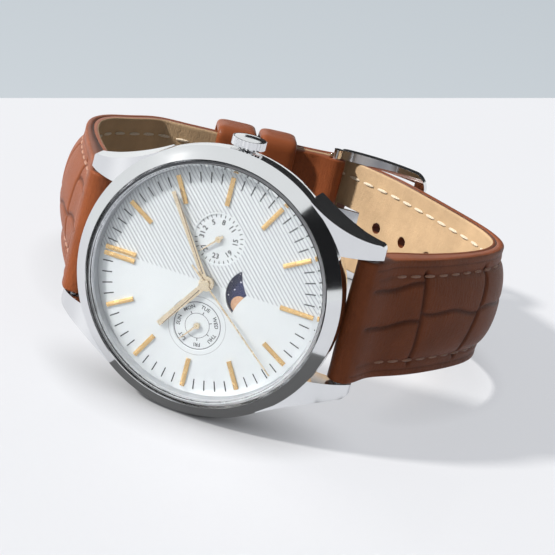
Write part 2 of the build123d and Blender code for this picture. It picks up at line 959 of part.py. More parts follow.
def battery_clip():
    """springy contact across the battery"""
    direction_out = direction((0, 0), (battery_x, battery_y))
    reach = battery_radius + screw_head_radius
    start = polar(-reach, direction_out + 90, battery_x, battery_y)
    end = polar(reach, direction_out + 90, battery_x, battery_y)
    return capsule(start, end, clip_width, battery_bottom - clip_thickness, clip_thickness)


# Wheel train

def arbor(centre, bottom, top):
    """plain arbor of a wheel"""
    return disc(arbor_radius, bottom, top, *centre)


def centre_wheel():
    """wheel that the third pinion drives, free on the seconds arbor under the cannon pinion"""
    phase = third_direction
    wheel = toothed(centre_wheel_teeth, centre_wheel_radius, train_level_a, train_wheel_thickness,
                    (0, 0), phase)
    return wheel - disc(cannon_bore_radius, train_level_a - overrun, plate_bottom + overrun)


def third_wheel():
    """third wheel and pinion"""
    back = third_direction + 180
    pinion_phase = meshed_phase(third_direction, third_pinion_teeth)
    body = toothed(third_pinion_teeth, third_pinion_radius, train_level_a, train_wheel_thickness,
                   third_centre, pinion_phase)
    body += toothed(third_wheel_teeth, third_wheel_radius, train_level_b, train_wheel_thickness,
                    third_centre, back)
    return body + arbor(third_centre, bridge_bottom, plate_arbor_top)


def seconds_wheel():
    """seconds wheel, pinion and the long arbor that carries the seconds hand"""
    pinion_phase = meshed_phase(third_direction + 180, seconds_pinion_teeth)
    body = toothed(seconds_pinion_teeth, seconds_pinion_radius, train_level_b, train_wheel_thickness,
                   (0, 0), pinion_phase)
    body += toothed(seconds_wheel_teeth, seconds_wheel_radius, train_level_c, train_wheel_thickness,
                    (0, 0), intermediate_direction)
    return body + disc(cannon_bore_radius - running_gap, bridge_bottom, seconds_hand_z)


def intermediate_wheel():
    """intermediate wheel and pinion between the rotor and the seconds wheel"""
    pinion_phase = meshed_phase(intermediate_direction, intermediate_pinion_teeth)
    body = toothed(intermediate_pinion_teeth, intermediate_pinion_radius, train_level_c,
                   train_wheel_thickness, intermediate_centre, pinion_phase)
    body += toothed(intermediate_wheel_teeth, intermediate_wheel_radius, train_level_b,
                    train_wheel_thickness, intermediate_centre, rotor_direction)
    return body + arbor(intermediate_centre, bridge_bottom, plate_arbor_top)


def rotor():
    """round magnet with its pinion"""
    pinion_phase = meshed_phase(rotor_direction, rotor_pinion_teeth)
    body = toothed(rotor_pinion_teeth, rotor_pinion_radius, train_level_b, train_wheel_thickness,
                   rotor_centre, pinion_phase)
    body += disc(rotor_magnet_radius, train_level_c, train_level_c + rotor_magnet_height, *rotor_centre)
    return body + arbor(rotor_centre, bridge_bottom, plate_arbor_top)


# Motion works and calendar

def cannon_pinion():
    """pipe that carries the minute hand, with the pinion of the motion works"""
    pipe = disc(cannon_pipe_radius, train_level_a + train_wheel_thickness, minute_hand_z + hand_thickness)
    pipe += toothed(cannon_teeth, cannon_radius, motion_level_minute, motion_wheel_thickness,
                    (0, 0), motion_direction)
    bore_bottom = train_level_a - overrun
    return pipe - disc(cannon_bore_radius, bore_bottom, minute_hand_z + overrun)


def minute_wheel():
    """minute wheel and pinion"""
    wheel_phase = meshed_phase(motion_direction, minute_wheel_teeth)
    body = toothed(minute_wheel_teeth, minute_wheel_radius, motion_level_minute, motion_wheel_thickness,
                   motion_centre, wheel_phase)
    body += toothed(minute_pinion_teeth, minute_pinion_radius, motion_level_hour, motion_wheel_thickness,
                    motion_centre, motion_direction + 180)
    return body + arbor(motion_centre, motion_arbor_bottom, motion_level_hour + motion_wheel_thickness)


def hour_wheel():
    """hour wheel, calendar wheel and the pipe that carries the hour hand"""
    wheel_phase = meshed_phase(motion_direction + 180, hour_wheel_teeth)
    body = toothed(hour_wheel_teeth, hour_wheel_radius, motion_level_hour, motion_wheel_thickness,
                   (0, 0), wheel_phase)
    body += toothed(hour_calendar_teeth, hour_calendar_radius, driving_level, motion_wheel_thickness,
                    (0, 0), date_driving_direction)
    body += disc(hour_pipe_radius, motion_level_hour, hour_hand_z + hand_thickness)
    bore = cannon_pipe_radius + running_gap
    return body - disc(bore, motion_level_hour - overrun, hour_hand_z + overrun)


def finger(centre, length, level, angle):
    """finger that steps a star wheel, parked away from it"""
    return capsule(centre, polar(length - finger_width / 2, angle, *centre), finger_width, level,
                   motion_wheel_thickness)


def finger_length(centre, target, target_radius):
    """reach of a finger into the teeth of its star wheel"""
    return distance(centre, target) - target_radius + finger_overlap


def hour_calendar_gap(angle):
    """tooth phase of a driving wheel against the hour wheel's calendar teeth"""
    step = 360 / hour_calendar_teeth
    offset = (angle - date_driving_direction) % step
    return angle + 180 + 180 / driving_wheel_teeth + offset * hour_calendar_teeth / driving_wheel_teeth


def date_driving_wheel():
    """wheel that turns once a day and steps the date"""
    phase = hour_calendar_gap(date_driving_direction)
    body = toothed(driving_wheel_teeth, driving_wheel_radius, driving_level, motion_wheel_thickness,
                   date_driving_centre, phase)
    length = finger_length(date_driving_centre, date_centre, date_star_radius)
    away = direction(date_centre, date_driving_centre)
    level = driving_level + motion_wheel_thickness
    post_top = star_level + motion_wheel_thickness
    body += finger(date_driving_centre, length, star_level, away)
    body += disc(finger_post_radius, level, star_level, *date_driving_centre)
    return body + arbor(date_driving_centre, motion_arbor_bottom, post_top)


def day_driving_wheel():
    """wheel that turns once a day and steps the weekday and the moon"""
    phase = hour_calendar_gap(day_driving_direction)
    body = toothed(driving_wheel_teeth, driving_wheel_radius, driving_level, motion_wheel_thickness,
                   day_driving_centre, phase)
    day_length = finger_length(day_driving_centre, day_centre, day_star_radius)
    moon_length = finger_length(day_driving_centre, moon_centre, moon_disc_radius)
    level = driving_level + motion_wheel_thickness
    body += disc(finger_post_radius, level, moon_level, *day_driving_centre)
    body += finger(day_driving_centre, day_length, star_level, direction(day_centre, day_driving_centre))
    body += finger(day_driving_centre, moon_length, moon_level, direction(moon_centre, day_driving_centre))
    return body + arbor(day_driving_centre, motion_arbor_bottom, moon_level)


def star_wheel(teeth, radius, root_share, centre, driver):
    """star wheel on the arbor of a subdial hand, with a tooth towards its driver"""
    phase = direction(centre, driver)
    root = radius * root_share
    body = star(teeth, radius, root, star_level, motion_wheel_thickness, centre, phase)
    return body + arbor(centre, calendar_arbor_bottom, small_hand_z + hand_thickness + fit_gap)


def moon_disc():
    """toothed disc with two raised moons"""
    root = moon_disc_radius * moon_root_share
    phase = direction(moon_centre, day_driving_centre)
    body = star(moon_disc_teeth, moon_disc_radius, root, moon_level, motion_wheel_thickness,
                moon_centre, phase)
    face = moon_level + motion_wheel_thickness
    for angle in (moon_angle, moon_angle + 180):
        body += disc(moon_radius, face, face + moon_relief, *polar(moon_orbit, angle, *moon_centre))
    return body + arbor(moon_centre, calendar_arbor_bottom, moon_level)


# Crown and keyless work

crown_inner_x = case_radius + crown_gap


def crown():
    """fluted crown with a domed polished face and a socket for the tube"""
    points = []
    for flute in range(crown_flutes):
        points.append(polar(crown_radius, 360 * flute / crown_flutes))
        points.append(polar(crown_radius - crown_flute_depth, 360 * (flute + 1 / 2) / crown_flutes))
    body = extrude(make_face(Polyline(*points, close=True)), crown_length)
    shoulder = crown_radius - 2 * crown_flute_depth
    dome_radius = (shoulder**2 + crown_dome**2) / (2 * crown_dome)
    dome = Pos(0, 0, crown_length + crown_dome - dome_radius) * Sphere(dome_radius)
    body += dome & Pos(0, 0, crown_length / 2) * Cylinder(shoulder, crown_length, align=BOTTOM)
    socket = crown_tube_radius + crown_gasket_width
    body -= Pos(0, 0, -overrun) * Cylinder(socket, crown_socket_depth + overrun, align=BOTTOM)
    return Pos(crown_inner_x, 0, stem_z) * Rot(0, 90, 0) * body


def crown_tube():
    """tube fixed in the case, in which the stem runs"""
    start = back_bore_radius
    end = crown_inner_x + crown_socket_depth - 2 * running_gap
    tube = along_x(crown_tube_radius, start, end, 0, stem_z)
    return tube - along_x(crown_tube_bore, start - overrun, end + overrun, 0, stem_z)


def crown_gasket():
    """seal in the crown's socket, sliding on the tube"""
    outer = crown_tube_radius + crown_gasket_width
    start = crown_inner_x
    seal = along_x(outer, start, start + crown_gasket_length, 0, stem_z)
    return seal - along_x(crown_tube_radius + running_gap, start - overrun, case_radius * 2, 0, stem_z)


lever_finger_x = lever_pivot_x - crown_pull_travel / 2


def stem():
    """stem with a square end and the groove for the setting lever"""
    square_end = setting_pinion_x + setting_pinion_length + crown_pull_travel
    end = crown_inner_x + crown_socket_depth
    body = along_x(stem_radius, square_end, end, 0, stem_z)
    square = Box(square_end - stem_inner_x, stem_square, stem_square,
                 align=(Align.MIN, Align.CENTER, Align.CENTER))
    body += Pos(stem_inner_x, 0, stem_z) * square
    half = stem_groove_length / 2
    groove = along_x(stem_radius + overrun, lever_finger_x - half, lever_finger_x + half, 0, stem_z)
    groove -= along_x(stem_groove_radius, lever_finger_x - overrun, lever_finger_x + overrun, 0, stem_z)
    return body - groove


def setting_pinion():
    """toothed pinion that slides on the stem's square"""
    root = setting_pinion_radius * setting_pinion_root_share
    teeth = star(setting_pinion_teeth, setting_pinion_radius, root, 0, setting_pinion_length)
    hole = stem_square + 2 * running_gap
    teeth -= Box(hole, hole, 4 * setting_pinion_length)
    return Pos(setting_pinion_x, 0, stem_z) * Rot(0, 90, 0) * teeth


def setting_lever():
    """lever whose pin sits in the stem's groove"""
    pivot = (lever_pivot_x, lever_pivot_y)
    tip = (lever_finger_x, 0)
    plate = capsule(pivot, tip, lever_width, lever_z, lever_thickness)
    plate += disc(arbor_radius * 2, lever_z - lever_pin_depth, lever_z, *pivot)
    return plate + disc(lever_pin_radius, lever_z - lever_pin_depth, lever_z, *tip)


def lever_pocket():
    """room for the setting lever, its pivot and its pin in the main plate"""
    pivot = (lever_pivot_x, lever_pivot_y)
    width = lever_width + 4 * running_gap
    floor = lever_z - running_gap
    depth = plate_top - floor + overrun
    room = capsule(pivot, (lever_finger_x, 0), width, floor, depth)
    room += capsule(pivot, (lever_finger_x + crown_pull_travel, 0), width, floor, depth)
    room += capsule(pivot, (lever_pivot_x, 0), width, floor, depth)
    room += disc(2 * arbor_radius + running_gap, lever_z - lever_pin_depth - running_gap, plate_top, *pivot)
    slot_width = 2 * (lever_pin_radius + 2 * running_gap)
    slot_end = (lever_finger_x + crown_pull_travel, 0)
    slot = capsule((lever_finger_x, 0), slot_end, slot_width, stem_z, plate_top - stem_z)
    return room + slot


# Strap

pivot_z = pivot_rise - loop_depth
seam_direction = (cos(radians(seam_angle)), sin(radians(seam_angle)))
seam_outward = (sin(radians(seam_angle)), -cos(radians(seam_angle)))


def seam_point(along, outward):
    """point beside the buckle bar, along the straight seam and out from it"""
    y = pivot_y + along * seam_direction[0] + (buckle_roll_radius + outward) * seam_outward[0]
    z = pivot_z + along * seam_direction[1] + (buckle_roll_radius + outward) * seam_outward[1]
    return (y, z)


def loop_point(width_share, depth_share):
    """point of the strap loop as shares of its half width and depth"""
    return (width_share * loop_half_width, -depth_share * loop_depth)


def buckle_point(along_share, rise_share):
    """point of the strap under the buckle as shares of the frame's length from the pivot"""
    return (pivot_y + along_share * buckle_length, pivot_z + rise_share * buckle_length)


def lug_start(sign):
    """first point of a strap's outer face, on its roll round the spring bar"""
    y, z = polar(lug_roll_radius, lug_start_angle, lug_bar_y, lug_bar_z)
    return (sign * y, z)


def lug_tangent(sign):
    """direction in which a strap leaves its roll"""
    y, z = polar(1, lug_start_angle - 90)
    return (sign * y, z)


long_outer = seam_gap + strap_thickness
long_bend = Spline(
    lug_start(-1),
    *[loop_point(*shares) for shares in long_loop_shares],
    *[buckle_point(*shares) for shares in long_buckle_shares],
    seam_point(long_seam_start, long_outer),
    tangents=(lug_tangent(-1), seam_direction),
)
long_run = Line(seam_point(long_seam_start, long_outer), seam_point(tail_length, long_outer))
long_route = Wire([long_bend, long_run])
short_bend = Spline(
    lug_start(1),
    *[loop_point(*shares) for shares in short_loop_shares],
    seam_point(short_bend_share * short_seam_start, 0),
    seam_point(short_seam_start, 0),
    tangents=(lug_tangent(1), (-seam_direction[0], -seam_direction[1])),
)
short_run = Line(seam_point(short_seam_start, 0), seam_point(0, 0))
short_route = Wire([short_bend, short_run])


def smooth(share):
    """ease from 0 to 1"""
    share = min(max(share, 0), 1)
    return share * share * (3 - 2 * share)


def edge_thickness(along):
    """thickness at the strap's edges: full at the lug, then plain"""
    thinner = (strap_thickness - 2 * lug_roll_radius) * smooth(along / edge_ease_length)
    return 2 * lug_roll_radius + thinner


def lining_face(along):
    """depth at which the lining begins, from the edge of the outer face"""
    return edge_thickness(along) - lining_thickness


def crown_height(along):
    """how far the padded middle stands out from the edges"""
    swell = sin(radians(180 * min(along / pad_length, 1))) ** 2
    return flat_crown + pad_height * swell


def half_width(route, along):
    """half the strap's width, narrowing from the lug to the buckle"""
    ease = min(along / (route.length - fold_length), 1)
    wide = strap_width / 2 - strap_side_gap
    return wide + (strap_end_width / 2 - wide) * ease


def station(route, side, along):
    """plane square to the strap, with Y pointing into its thickness"""
    point = route.position_at(along, position_mode=PositionMode.LENGTH)
    tangent = route.tangent_at(along, position_mode=PositionMode.LENGTH)
    return Plane(
        origin=(0, point.X, point.Y),
        x_dir=(1, 0, 0),
        z_dir=(0, -side * tangent.X, -side * tangent.Y),
    )


def outer_section(route, side, along, far):
    """crowned section of the outer leather"""
    half = half_width(route, along)
    edges = [
        ThreePointArc((-half, 0), (0, -crown_height(along)), (half, 0)),
        Line((half, 0), (half, far(along))),
        Line((half, far(along)), (-half, far(along))),
        Line((-half, far(along)), (-half, 0)),
    ]
    return station(route, side, along) * make_face(edges)


def lining_section(route, side, along):
    """flat section of the lining"""
    half = half_width(route, along)
    middle = lining_face(along) + lining_thickness / 2
    return station(route, side, along) * Pos(0, middle) * Rectangle(2 * half, lining_thickness)


def stations(route, start, end):
    """even lengths between two places along a route"""
    count = max(ceil(strap_sections * (end - start) / route.length), 4)
    return [start + (end - start) * step / count for step in range(count + 1)]


def outer_layer(route, side, start, end, far):
    """outer leather between two lengths along the route"""
    sections = [outer_section(route, side, along, far) for along in stations(route, start, end)]
    return loft(sections, ruled=True)


def lining_layer(route, side, start, end):
    """lining between two lengths along the route"""
    sections = [lining_section(route, side, along) for along in stations(route, start, end)]
    return loft(sections, ruled=True)


def roll(radius, y, z, half):
    """round end of a strap about its bar"""
    return along_x(radius, -half, half, y, z)


def bar_room(y, z, gap):
    """hole through the strap for a spring bar"""
    return along_x(bar_tube_radius + gap, -strap_width, strap_width, y, z)


def hole_lengths():
    """lengths along the long strap at which its holes lie"""
    target = pivot_y - tongue_hole_offset
    tongue_at = length_at(long_route, target)
    first = -holes_before_tongue
    return [tongue_at + number * hole_pitch for number in range(first, holes_after_tongue + 1) if number]


def length_at(route, y):
    """length along the lower half of the long route at which it crosses a place y"""
    low = route.length / 2
    high = route.length
    for step in range(30):
        middle = (low + high) / 2
        if route.position_at(middle, position_mode=PositionMode.LENGTH).X < y:
            low = middle
        else:
            high = middle
    return low


def strap_holes():
    """round buckle holes, each square to the strap"""
    holes = []
    for along in hole_lengths():
        point = long_route.position_at(along, position_mode=PositionMode.LENGTH)
        tangent = long_route.tangent_at(along, position_mode=PositionMode.LENGTH)
        angle = degrees(atan2(tangent.Y, tangent.X))
        drill = Cylinder(hole_radius, 4 * strap_thickness)
        holes.append(Pos(0, point.X, point.Y) * Rot(angle, 0, 0) * drill)
    return holes


buckle_inner_width = strap_end_width + 2 * buckle_side_gap
buckle_bar_y = pivot_y - buckle_length
buckle_bar_z = pivot_z - buckle_bar_drop
buckle_start = pivot_y + buckle_end_reach
buckle_end = buckle_bar_y - buckle_bar_width / 2


def buckle_outer(y):
    """height of the bowed frame's outer face at a place y"""
    middle = (buckle_start + buckle_end) / 2
    share = (y - middle) / (buckle_start - middle)
    rim = (pivot_z + buckle_bar_z) / 2 - buckle_thickness / 2
    return rim - buckle_sag * (1 - share**2)


tongue_bar_y = buckle_end + buckle_bar_width
tongue_bar_z = buckle_outer(tongue_bar_y) - tongue_thickness / 2 - tongue_rest_gap
tongue_angle = degrees(atan2(tongue_bar_z - pivot_z, tongue_bar_y - pivot_y))
tongue_length = hypot(tongue_bar_z - pivot_z, tongue_bar_y - pivot_y)


def tongue_point(along, out, lift):
    """point beside the tongue, at a lift from its rest"""
    angle = radians(tongue_angle + lift)
    y = pivot_y + along * cos(angle) - out * sin(angle)
    z = pivot_z + along * sin(angle) + out * cos(angle)
    return (y, z)


def tongue_slot():
    """stretched hole in which the tongue passes through the strap and lifts"""
    half = tongue_thickness / 2 + tongue_hole_gap
    start = tongue_eye_radius + tongue_hole_gap
    end = tongue_length
    section = make_face(
        Polyline(
            tongue_point(start, -half, 0),
            tongue_point(end, -half, 0),
            tongue_point(end, half, tongue_lift),
            tongue_point(start, half, tongue_lift),
            close=True,
        )
    )
    return extrude(Plane.YZ * section, tongue_width / 2 + tongue_hole_gap, both=True)


def tail_trim():
    """corners cut off the strap's tail"""
    y, z = seam_point(tail_length, long_outer)
    half = strap_end_width / 2
    reach = half + overrun
    corners = make_face(
        Polyline(
            (reach, y - tail_corner),
            (reach, y + overrun),
            (half - tail_corner, y + overrun),
            close=True,
        )
    )
    cutter = Pos(0, 0, z - tail_corner) * extrude(corners, 2 * tail_corner)
    return cutter + mirror(cutter, Plane.YZ)


def end_slot():
    """notch in the short strap's end in which the tongue turns"""
    half = tongue_width / 2 + tongue_hole_gap
    reach = tongue_eye_radius + tongue_hole_gap
    room = Box(2 * half, reach + 2 * buckle_roll_radius, 4 * buckle_roll_radius,
               align=(Align.CENTER, Align.MAX, Align.CENTER))
    return Pos(0, pivot_y + reach, pivot_z) * room


def strap_end(sign):
    """what is cut from a strap at its spring bar"""
    side = release_tab_radius + 2 * holder_gap
    return bar_room(sign * lug_bar_y, lug_bar_z, 0) + tab_slot(sign, release_slot_depth, side, side)


def strap_long_upper():
    """outer leather of the long half, with its roll, holes and tongue slot"""
    body = outer_layer(long_route, 1, 0, long_route.length, lining_face)
    body += roll(lug_roll_radius, -lug_bar_y, lug_bar_z, strap_width / 2 - strap_side_gap)
    body -= strap_end(-1)
    for hole in strap_holes():
        body -= hole
    return body - tongue_slot() - tail_trim()


def strap_long_lining():
    """lining of the long half, up to the roll"""
    body = lining_layer(long_route, 1, 0, long_route.length)
    body -= roll(lug_roll_radius + fit_gap, -lug_bar_y, lug_bar_z, strap_width) + strap_end(-1)
    for hole in strap_holes():
        body -= hole
    return body - tongue_slot() - tail_trim()


short_fold = short_route.length - fold_length


def strap_short_upper():
    """outer leather of the short half, folded back over its buckle end"""
    body = outer_layer(short_route, -1, 0, short_fold, lining_face)
    body += outer_layer(short_route, -1, short_fold, short_route.length, edge_thickness)
    body += roll(lug_roll_radius, lug_bar_y, lug_bar_z, strap_width / 2 - strap_side_gap)
    body += roll(buckle_roll_radius, pivot_y, pivot_z, strap_end_width / 2)
    body -= strap_end(1)
    body -= bar_room(pivot_y, pivot_z, 0)
    return body - end_slot()


def strap_short_lining():
    """lining of the short half, from the roll to the fold"""
    body = lining_layer(short_route, -1, 0, short_fold)
    return body - roll(lug_roll_radius + fit_gap, lug_bar_y, lug_bar_z, strap_width) - strap_end(1)


# Keepers

stack_depth = 2 * strap_thickness + seam_gap


def keeper(place, width):
    """leather loop round both strap layers, square to the seam"""
    inner_x = strap_end_width + 2 * keeper_clearance
    inner_z = stack_depth + 2 * keeper_clearance
    outer = RectangleRounded(inner_z + 2 * keeper_thickness, inner_x + 2 * keeper_thickness, keeper_corner)
    loop = extrude(outer, width / 2, both=True)
    ends = loop.faces().sort_by(Axis.Z)
    loop = chamfer(ends[0].edges() + ends[-1].edges(), keeper_edge_chamfer)
    loop -= extrude(RectangleRounded(inner_z, inner_x, keeper_corner / 3), width, both=True)
    y, z = seam_point(place, long_outer - stack_depth / 2)
    frame = Plane(origin=(0, y, z), x_dir=(0, *seam_outward), z_dir=(0, *seam_direction))
    return frame.location * loop


# Buckle

def buckle_arc(offset):
    """one bowed face of the frame, at an offset into its thickness"""
    middle = (buckle_start + buckle_end) / 2
    rim = (pivot_z + buckle_bar_z) / 2 - buckle_thickness / 2 + offset
    return ThreePointArc((buckle_start, rim), (middle, rim - buckle_sag), (buckle_end, rim))


def buckle_side():
    """side view of the frame: a bowed bar from the pivot to the far bar"""
    outer = buckle_arc(0)
    inner = buckle_arc(buckle_thickness)
    return make_face([outer, Line(outer @ 1, inner @ 1), inner, Line(inner @ 0, outer @ 0)])


def buckle_frame():
    """polished frame: two arms with eyes and the far bar"""
    outer_half = buckle_inner_width / 2 + buckle_arm_width
    blank = extrude(Plane.YZ * buckle_side(), outer_half, both=True)
    length = buckle_start - buckle_end
    outline = RectangleRounded(2 * outer_half, length, buckle_corner)
    outline = Pos(0, (buckle_start + buckle_end) / 2) * outline
    tall = 4 * (buckle_thickness + buckle_sag)
    blank = blank & Pos(0, 0, pivot_z - tall / 2) * extrude(outline, tall)
    room = Box(buckle_inner_width, length, tall, align=(Align.CENTER, Align.MIN, Align.CENTER))
    blank -= Pos(0, tongue_bar_y, pivot_z) * room
    return blank - bar_room(pivot_y, pivot_z, buckle_pin_gap)


def buckle_tongue():
    """tongue with its eye, through the strap and over the far bar"""
    half = tongue_thickness / 2
    tip = tongue_length + tongue_overhang
    section = make_face(
        Polyline(
            tongue_point(0, -half, 0),
            tongue_point(tip, -half / 2, 0),
            tongue_point(tip, half / 2, 0),
            tongue_point(0, half, 0),
            close=True,
        )
    )
    section += Pos(pivot_y, pivot_z) * Circle(tongue_eye_radius)
    body = extrude(Plane.YZ * section, tongue_width / 2, both=True)
    return body - bar_room(pivot_y, pivot_z, buckle_pin_gap)


def buckle_spring_bar():
    """bar on which the frame and the tongue turn"""
    reach = buckle_inner_width / 2 + buckle_arm_width
    return along_x(bar_tube_radius, -reach + fit_gap, reach - fit_gap, pivot_y, pivot_z)


# Standing place: on the 9 o'clock flank and the buckle, leaning back until both touch

buckle_half = buckle_inner_width / 2 + buckle_arm_width
contact_run = flank_bottom - buckle_outer((buckle_start + buckle_end) / 2)
lean = degrees(atan2(case_radius - buckle_half, contact_run))
across = (0, sin(radians(lean)), cos(radians(lean)))
facing = (0, -cos(radians(lean)), sin(radians(lean)))
standing = Plane(origin=(0, 0, 0), x_dir=across, z_dir=facing).location

pieces = {
    "case_middle": case_middle(),
    "crystal": crystal(),
    "crystal_gasket": crystal_gasket(),
    "rehaut": rehaut(),
    "case_back": case_back(),
    "case_back_gasket": case_back_gasket(),
    "spring_bar_twelve": spring_bar(1),
    "spring_bar_six": spring_bar(-1),
    "release_pin_twelve": release_pin(1),
    "release_pin_six": release_pin(-1),
    "dial_plate": dial_plate(),
    "hour_markers": hour_markers(),
    "hour_hand": hour_hand(),
    "minute_hand": minute_hand(),
    "seconds_hand": seconds_hand(),
    "date_hand": small_hand(date_hand_length, date_hand_tail, date_angle, subdial_offset),
    "day_hand": small_hand(day_hand_length, 0, day_angle, -subdial_offset),
    "main_plate": main_plate(),
    "train_bridge": train_bridge(),
    "movement_screws": movement_screws(),
    "movement_holder": movement_holder(),
    "circuit_board": circuit_board(),
    "board_chip": board_chip(),
    "quartz_oscillator": quartz_oscillator(),
    "coil": coil(),
    "stator": stator(),
    "battery": battery(),
    "battery_clip": battery_clip(),
    "centre_wheel": centre_wheel(),
    "third_wheel": third_wheel(),
    "seconds_wheel": seconds_wheel(),
    "intermediate_wheel": intermediate_wheel(),
    "rotor": rotor(),
    "cannon_pinion": cannon_pinion(),
    "minute_wheel": minute_wheel(),
    "hour_wheel": hour_wheel(),
    "date_driving_wheel": date_driving_wheel(),
    "day_driving_wheel": day_driving_wheel(),
    "date_star_wheel": star_wheel(
        days_in_month, date_star_radius, star_root_share, date_centre, date_driving_centre),
    "day_star_wheel": star_wheel(
        days_in_week, day_star_radius, day_star_root_share, day_centre, day_driving_centre),
    "moon_disc": moon_disc(),
    "crown": crown(),
    "crown_tube": crown_tube(),
    "crown_gasket": crown_gasket(),
    "stem": stem(),
    "setting_pinion": setting_pinion(),
    "setting_lever": setting_lever(),
    "strap_long_upper": strap_long_upper(),
    "strap_long_lining": strap_long_lining(),
    "strap_short_upper": strap_short_upper(),
    "strap_short_lining": strap_short_lining(),
    "fixed_keeper": keeper(fixed_keeper_place, fixed_keeper_width),
    "free_keeper": keeper(free_keeper_place, free_keeper_width),
    "buckle_frame": buckle_frame(),
    "buckle_tongue": buckle_tongue(),
    "buckle_spring_bar": buckle_spring_bar(),
}

# The origin lies under the middle of the standing watch, on the ground
stood = {name: standing * piece for name, piece in pieces.items()}
reach_names = ("case_middle", "crystal", "crown", "strap_long_upper", "strap_short_upper", "buckle_frame")
extent = Compound(children=[stood[name] for name in reach_names]).bounding_box()
middle = extent.center()
place = Pos(-middle.X, -middle.Y, -extent.min.Z) * standing

for name, piece in pieces.items():
    export_step(place * piece, f"parts/{name}.step")
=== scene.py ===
import json
import math

import bmesh
import bpy
import numpy as np
from mathutils import Matrix, Quaternion, Vector


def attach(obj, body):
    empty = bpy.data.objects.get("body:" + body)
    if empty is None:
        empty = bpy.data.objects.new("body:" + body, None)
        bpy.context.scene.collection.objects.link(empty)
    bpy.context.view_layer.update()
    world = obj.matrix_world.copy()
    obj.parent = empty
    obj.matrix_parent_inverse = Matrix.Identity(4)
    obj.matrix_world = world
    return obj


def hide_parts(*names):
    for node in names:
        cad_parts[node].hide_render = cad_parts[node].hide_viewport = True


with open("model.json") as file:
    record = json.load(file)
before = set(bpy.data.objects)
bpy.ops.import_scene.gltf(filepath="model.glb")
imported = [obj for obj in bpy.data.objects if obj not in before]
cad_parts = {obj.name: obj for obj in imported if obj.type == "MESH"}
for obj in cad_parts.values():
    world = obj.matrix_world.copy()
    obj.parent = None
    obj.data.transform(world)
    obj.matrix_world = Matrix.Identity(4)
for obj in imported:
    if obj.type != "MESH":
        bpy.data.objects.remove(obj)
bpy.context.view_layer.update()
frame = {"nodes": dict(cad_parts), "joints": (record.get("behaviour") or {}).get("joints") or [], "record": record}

# The looks of a moon phase watch on a buckled leather strap.
# Pieces are made in the watch's own axes, in millimetres: X to 3 o'clock, Y to 12 o'clock,
# Z out of the dial, zero on the dial's face. WATCH puts them in the frame, in metres.

MM = 0.001
joints = {joint["name"]: joint for joint in frame["joints"]}
DIAL_CENTRE = Vector(joints["hour_turn"]["pos_m"])
OUT = Vector(joints["hour_turn"]["axis"])
THREE = Vector(joints["crown_turn"]["axis"])
TWELVE = OUT.cross(THREE)
TURN = Matrix((THREE, TWELVE, OUT)).transposed()
WATCH = Matrix.Translation(DIAL_CENTRE) @ TURN.to_4x4() @ Matrix.Scale(MM, 4)

# Camera, fitted to the photograph's 555 by 555 frame
CAMERA_PLACE = (0.092571, -0.35806, 0.188916)
CAMERA_TARGET = (0.009999, -0.029549, 0.025351)
CAMERA_ROLL = 12.22
CAMERA_LENS = 162.16
SENSOR = 36.0
PICTURE = 555
TABLE_EDGE_ROW = 98

# Light and stage, fitted to the photograph's shadow and reflections
SUN_FROM = (-0.6875, -0.35, 0.636)
SUN_STRENGTH = 6.3
SUN_WIDTH = 5.0
SUN_COLOUR = (1.0, 0.97, 0.93)
SKY_STRENGTH = 0.36
SKY_LEFT = 1.4
SKY_RIGHT = 0.3
SKY_COLOUR = (0.92, 0.96, 1.0, 1.0)
MIRRORED_COLOUR = (0.93, 0.95, 0.95, 1.0)
WALL_LOW = (0.62, 0.67, 0.71)
WALL_HIGH = (0.54, 0.59, 0.63)
FLOOR_COLOUR = (0.475, 0.48, 0.495)
FLOOR_GLOW = (0.99, 1.01, 1.06)
FLOOR_GLOW_SHARE = 0.55
FLOOR_HALF_WIDTH = 3
FLOOR_DEPTH = 4
# reach of the painted contact shadow in the floor's glow
PAINTED_SHADOW_REACH = 0.009
WATCH_MIDDLE = (0.0, -0.02, 0.02)
CARDS = (
    ("dark_card", (0.309, -0.27, 0.231), WATCH_MIDDLE, 0.78, 0.36, (0.004, 0.004, 0.005)),
    ("dark_card_behind", (0.0, 0.33, 0.063), WATCH_MIDDLE, 0.21, 0.122, (0.004, 0.004, 0.005)),
    # the card below stands in for the floor's shadow under the case, as the flank reflects it: painted shadow
    ("painted_floor_shadow_card", (0.015, -0.036, 0.0004), (0.015, -0.036, 1.0), 0.06, 0.022, (0.075, 0.077, 0.08)),
)

# Strap, as the solids have it
LUG_BAR_Y = 22.3
LUG_BAR_Z = -5.3
LUG_ROLL = 1.9
BAR_TUBE = 0.75
LUG_START_ANGLE = 32.0
STRAP_THICKNESS = 2.2
LINING_THICKNESS = 0.9
LINING_START = 0.02
HALF_AT_LUG = 9.85
HALF_AT_END = 9.2
FOLD_LENGTH = 19.0
PAD_LENGTH = 60.0
PAD_HEIGHT = 1.7
FLAT_CROWN = 0.08
EDGE_EASE = 30.0
LOOP_HALF_WIDTH = 36.8
LOOP_DEPTH = 65.0
SEAM_ANGLE = 21.5
PIVOT_Y = -0.7
PIVOT_Z = -61.0
BUCKLE_ROLL = 1.7
SEAM_GAP = 0.2
TAIL_LENGTH = 23.5
TAIL_CORNER = 4.5
LONG_SEAM_START = 3.5
SHORT_SEAM_START = 26.0
HOLE_RADIUS = 0.95
HOLE_PITCH = 7.0
HOLES_BEFORE = 4
HOLES_AFTER = 2
TONGUE_HOLE = 5.0
TONGUE_HALF_ROOM = 1.25
TONGUE_SLOT = 2.6
END_SLOT = 2.4
END_SLOT_FRONT = 0.66
END_SLOT_DEPTH = 4.0
LONG_POINT_SHARES = (
    (-0.69, 0.14), (-0.778, 0.229), (-0.868, 0.324), (-0.941, 0.424), (-0.989, 0.523), (-0.984, 0.605),
    (-0.919, 0.677), (-0.805, 0.743), (-0.653, 0.812), (-0.482, 0.885), (-0.332, 0.94), (-0.163, 0.984),
    (-0.033, 1.009),
)
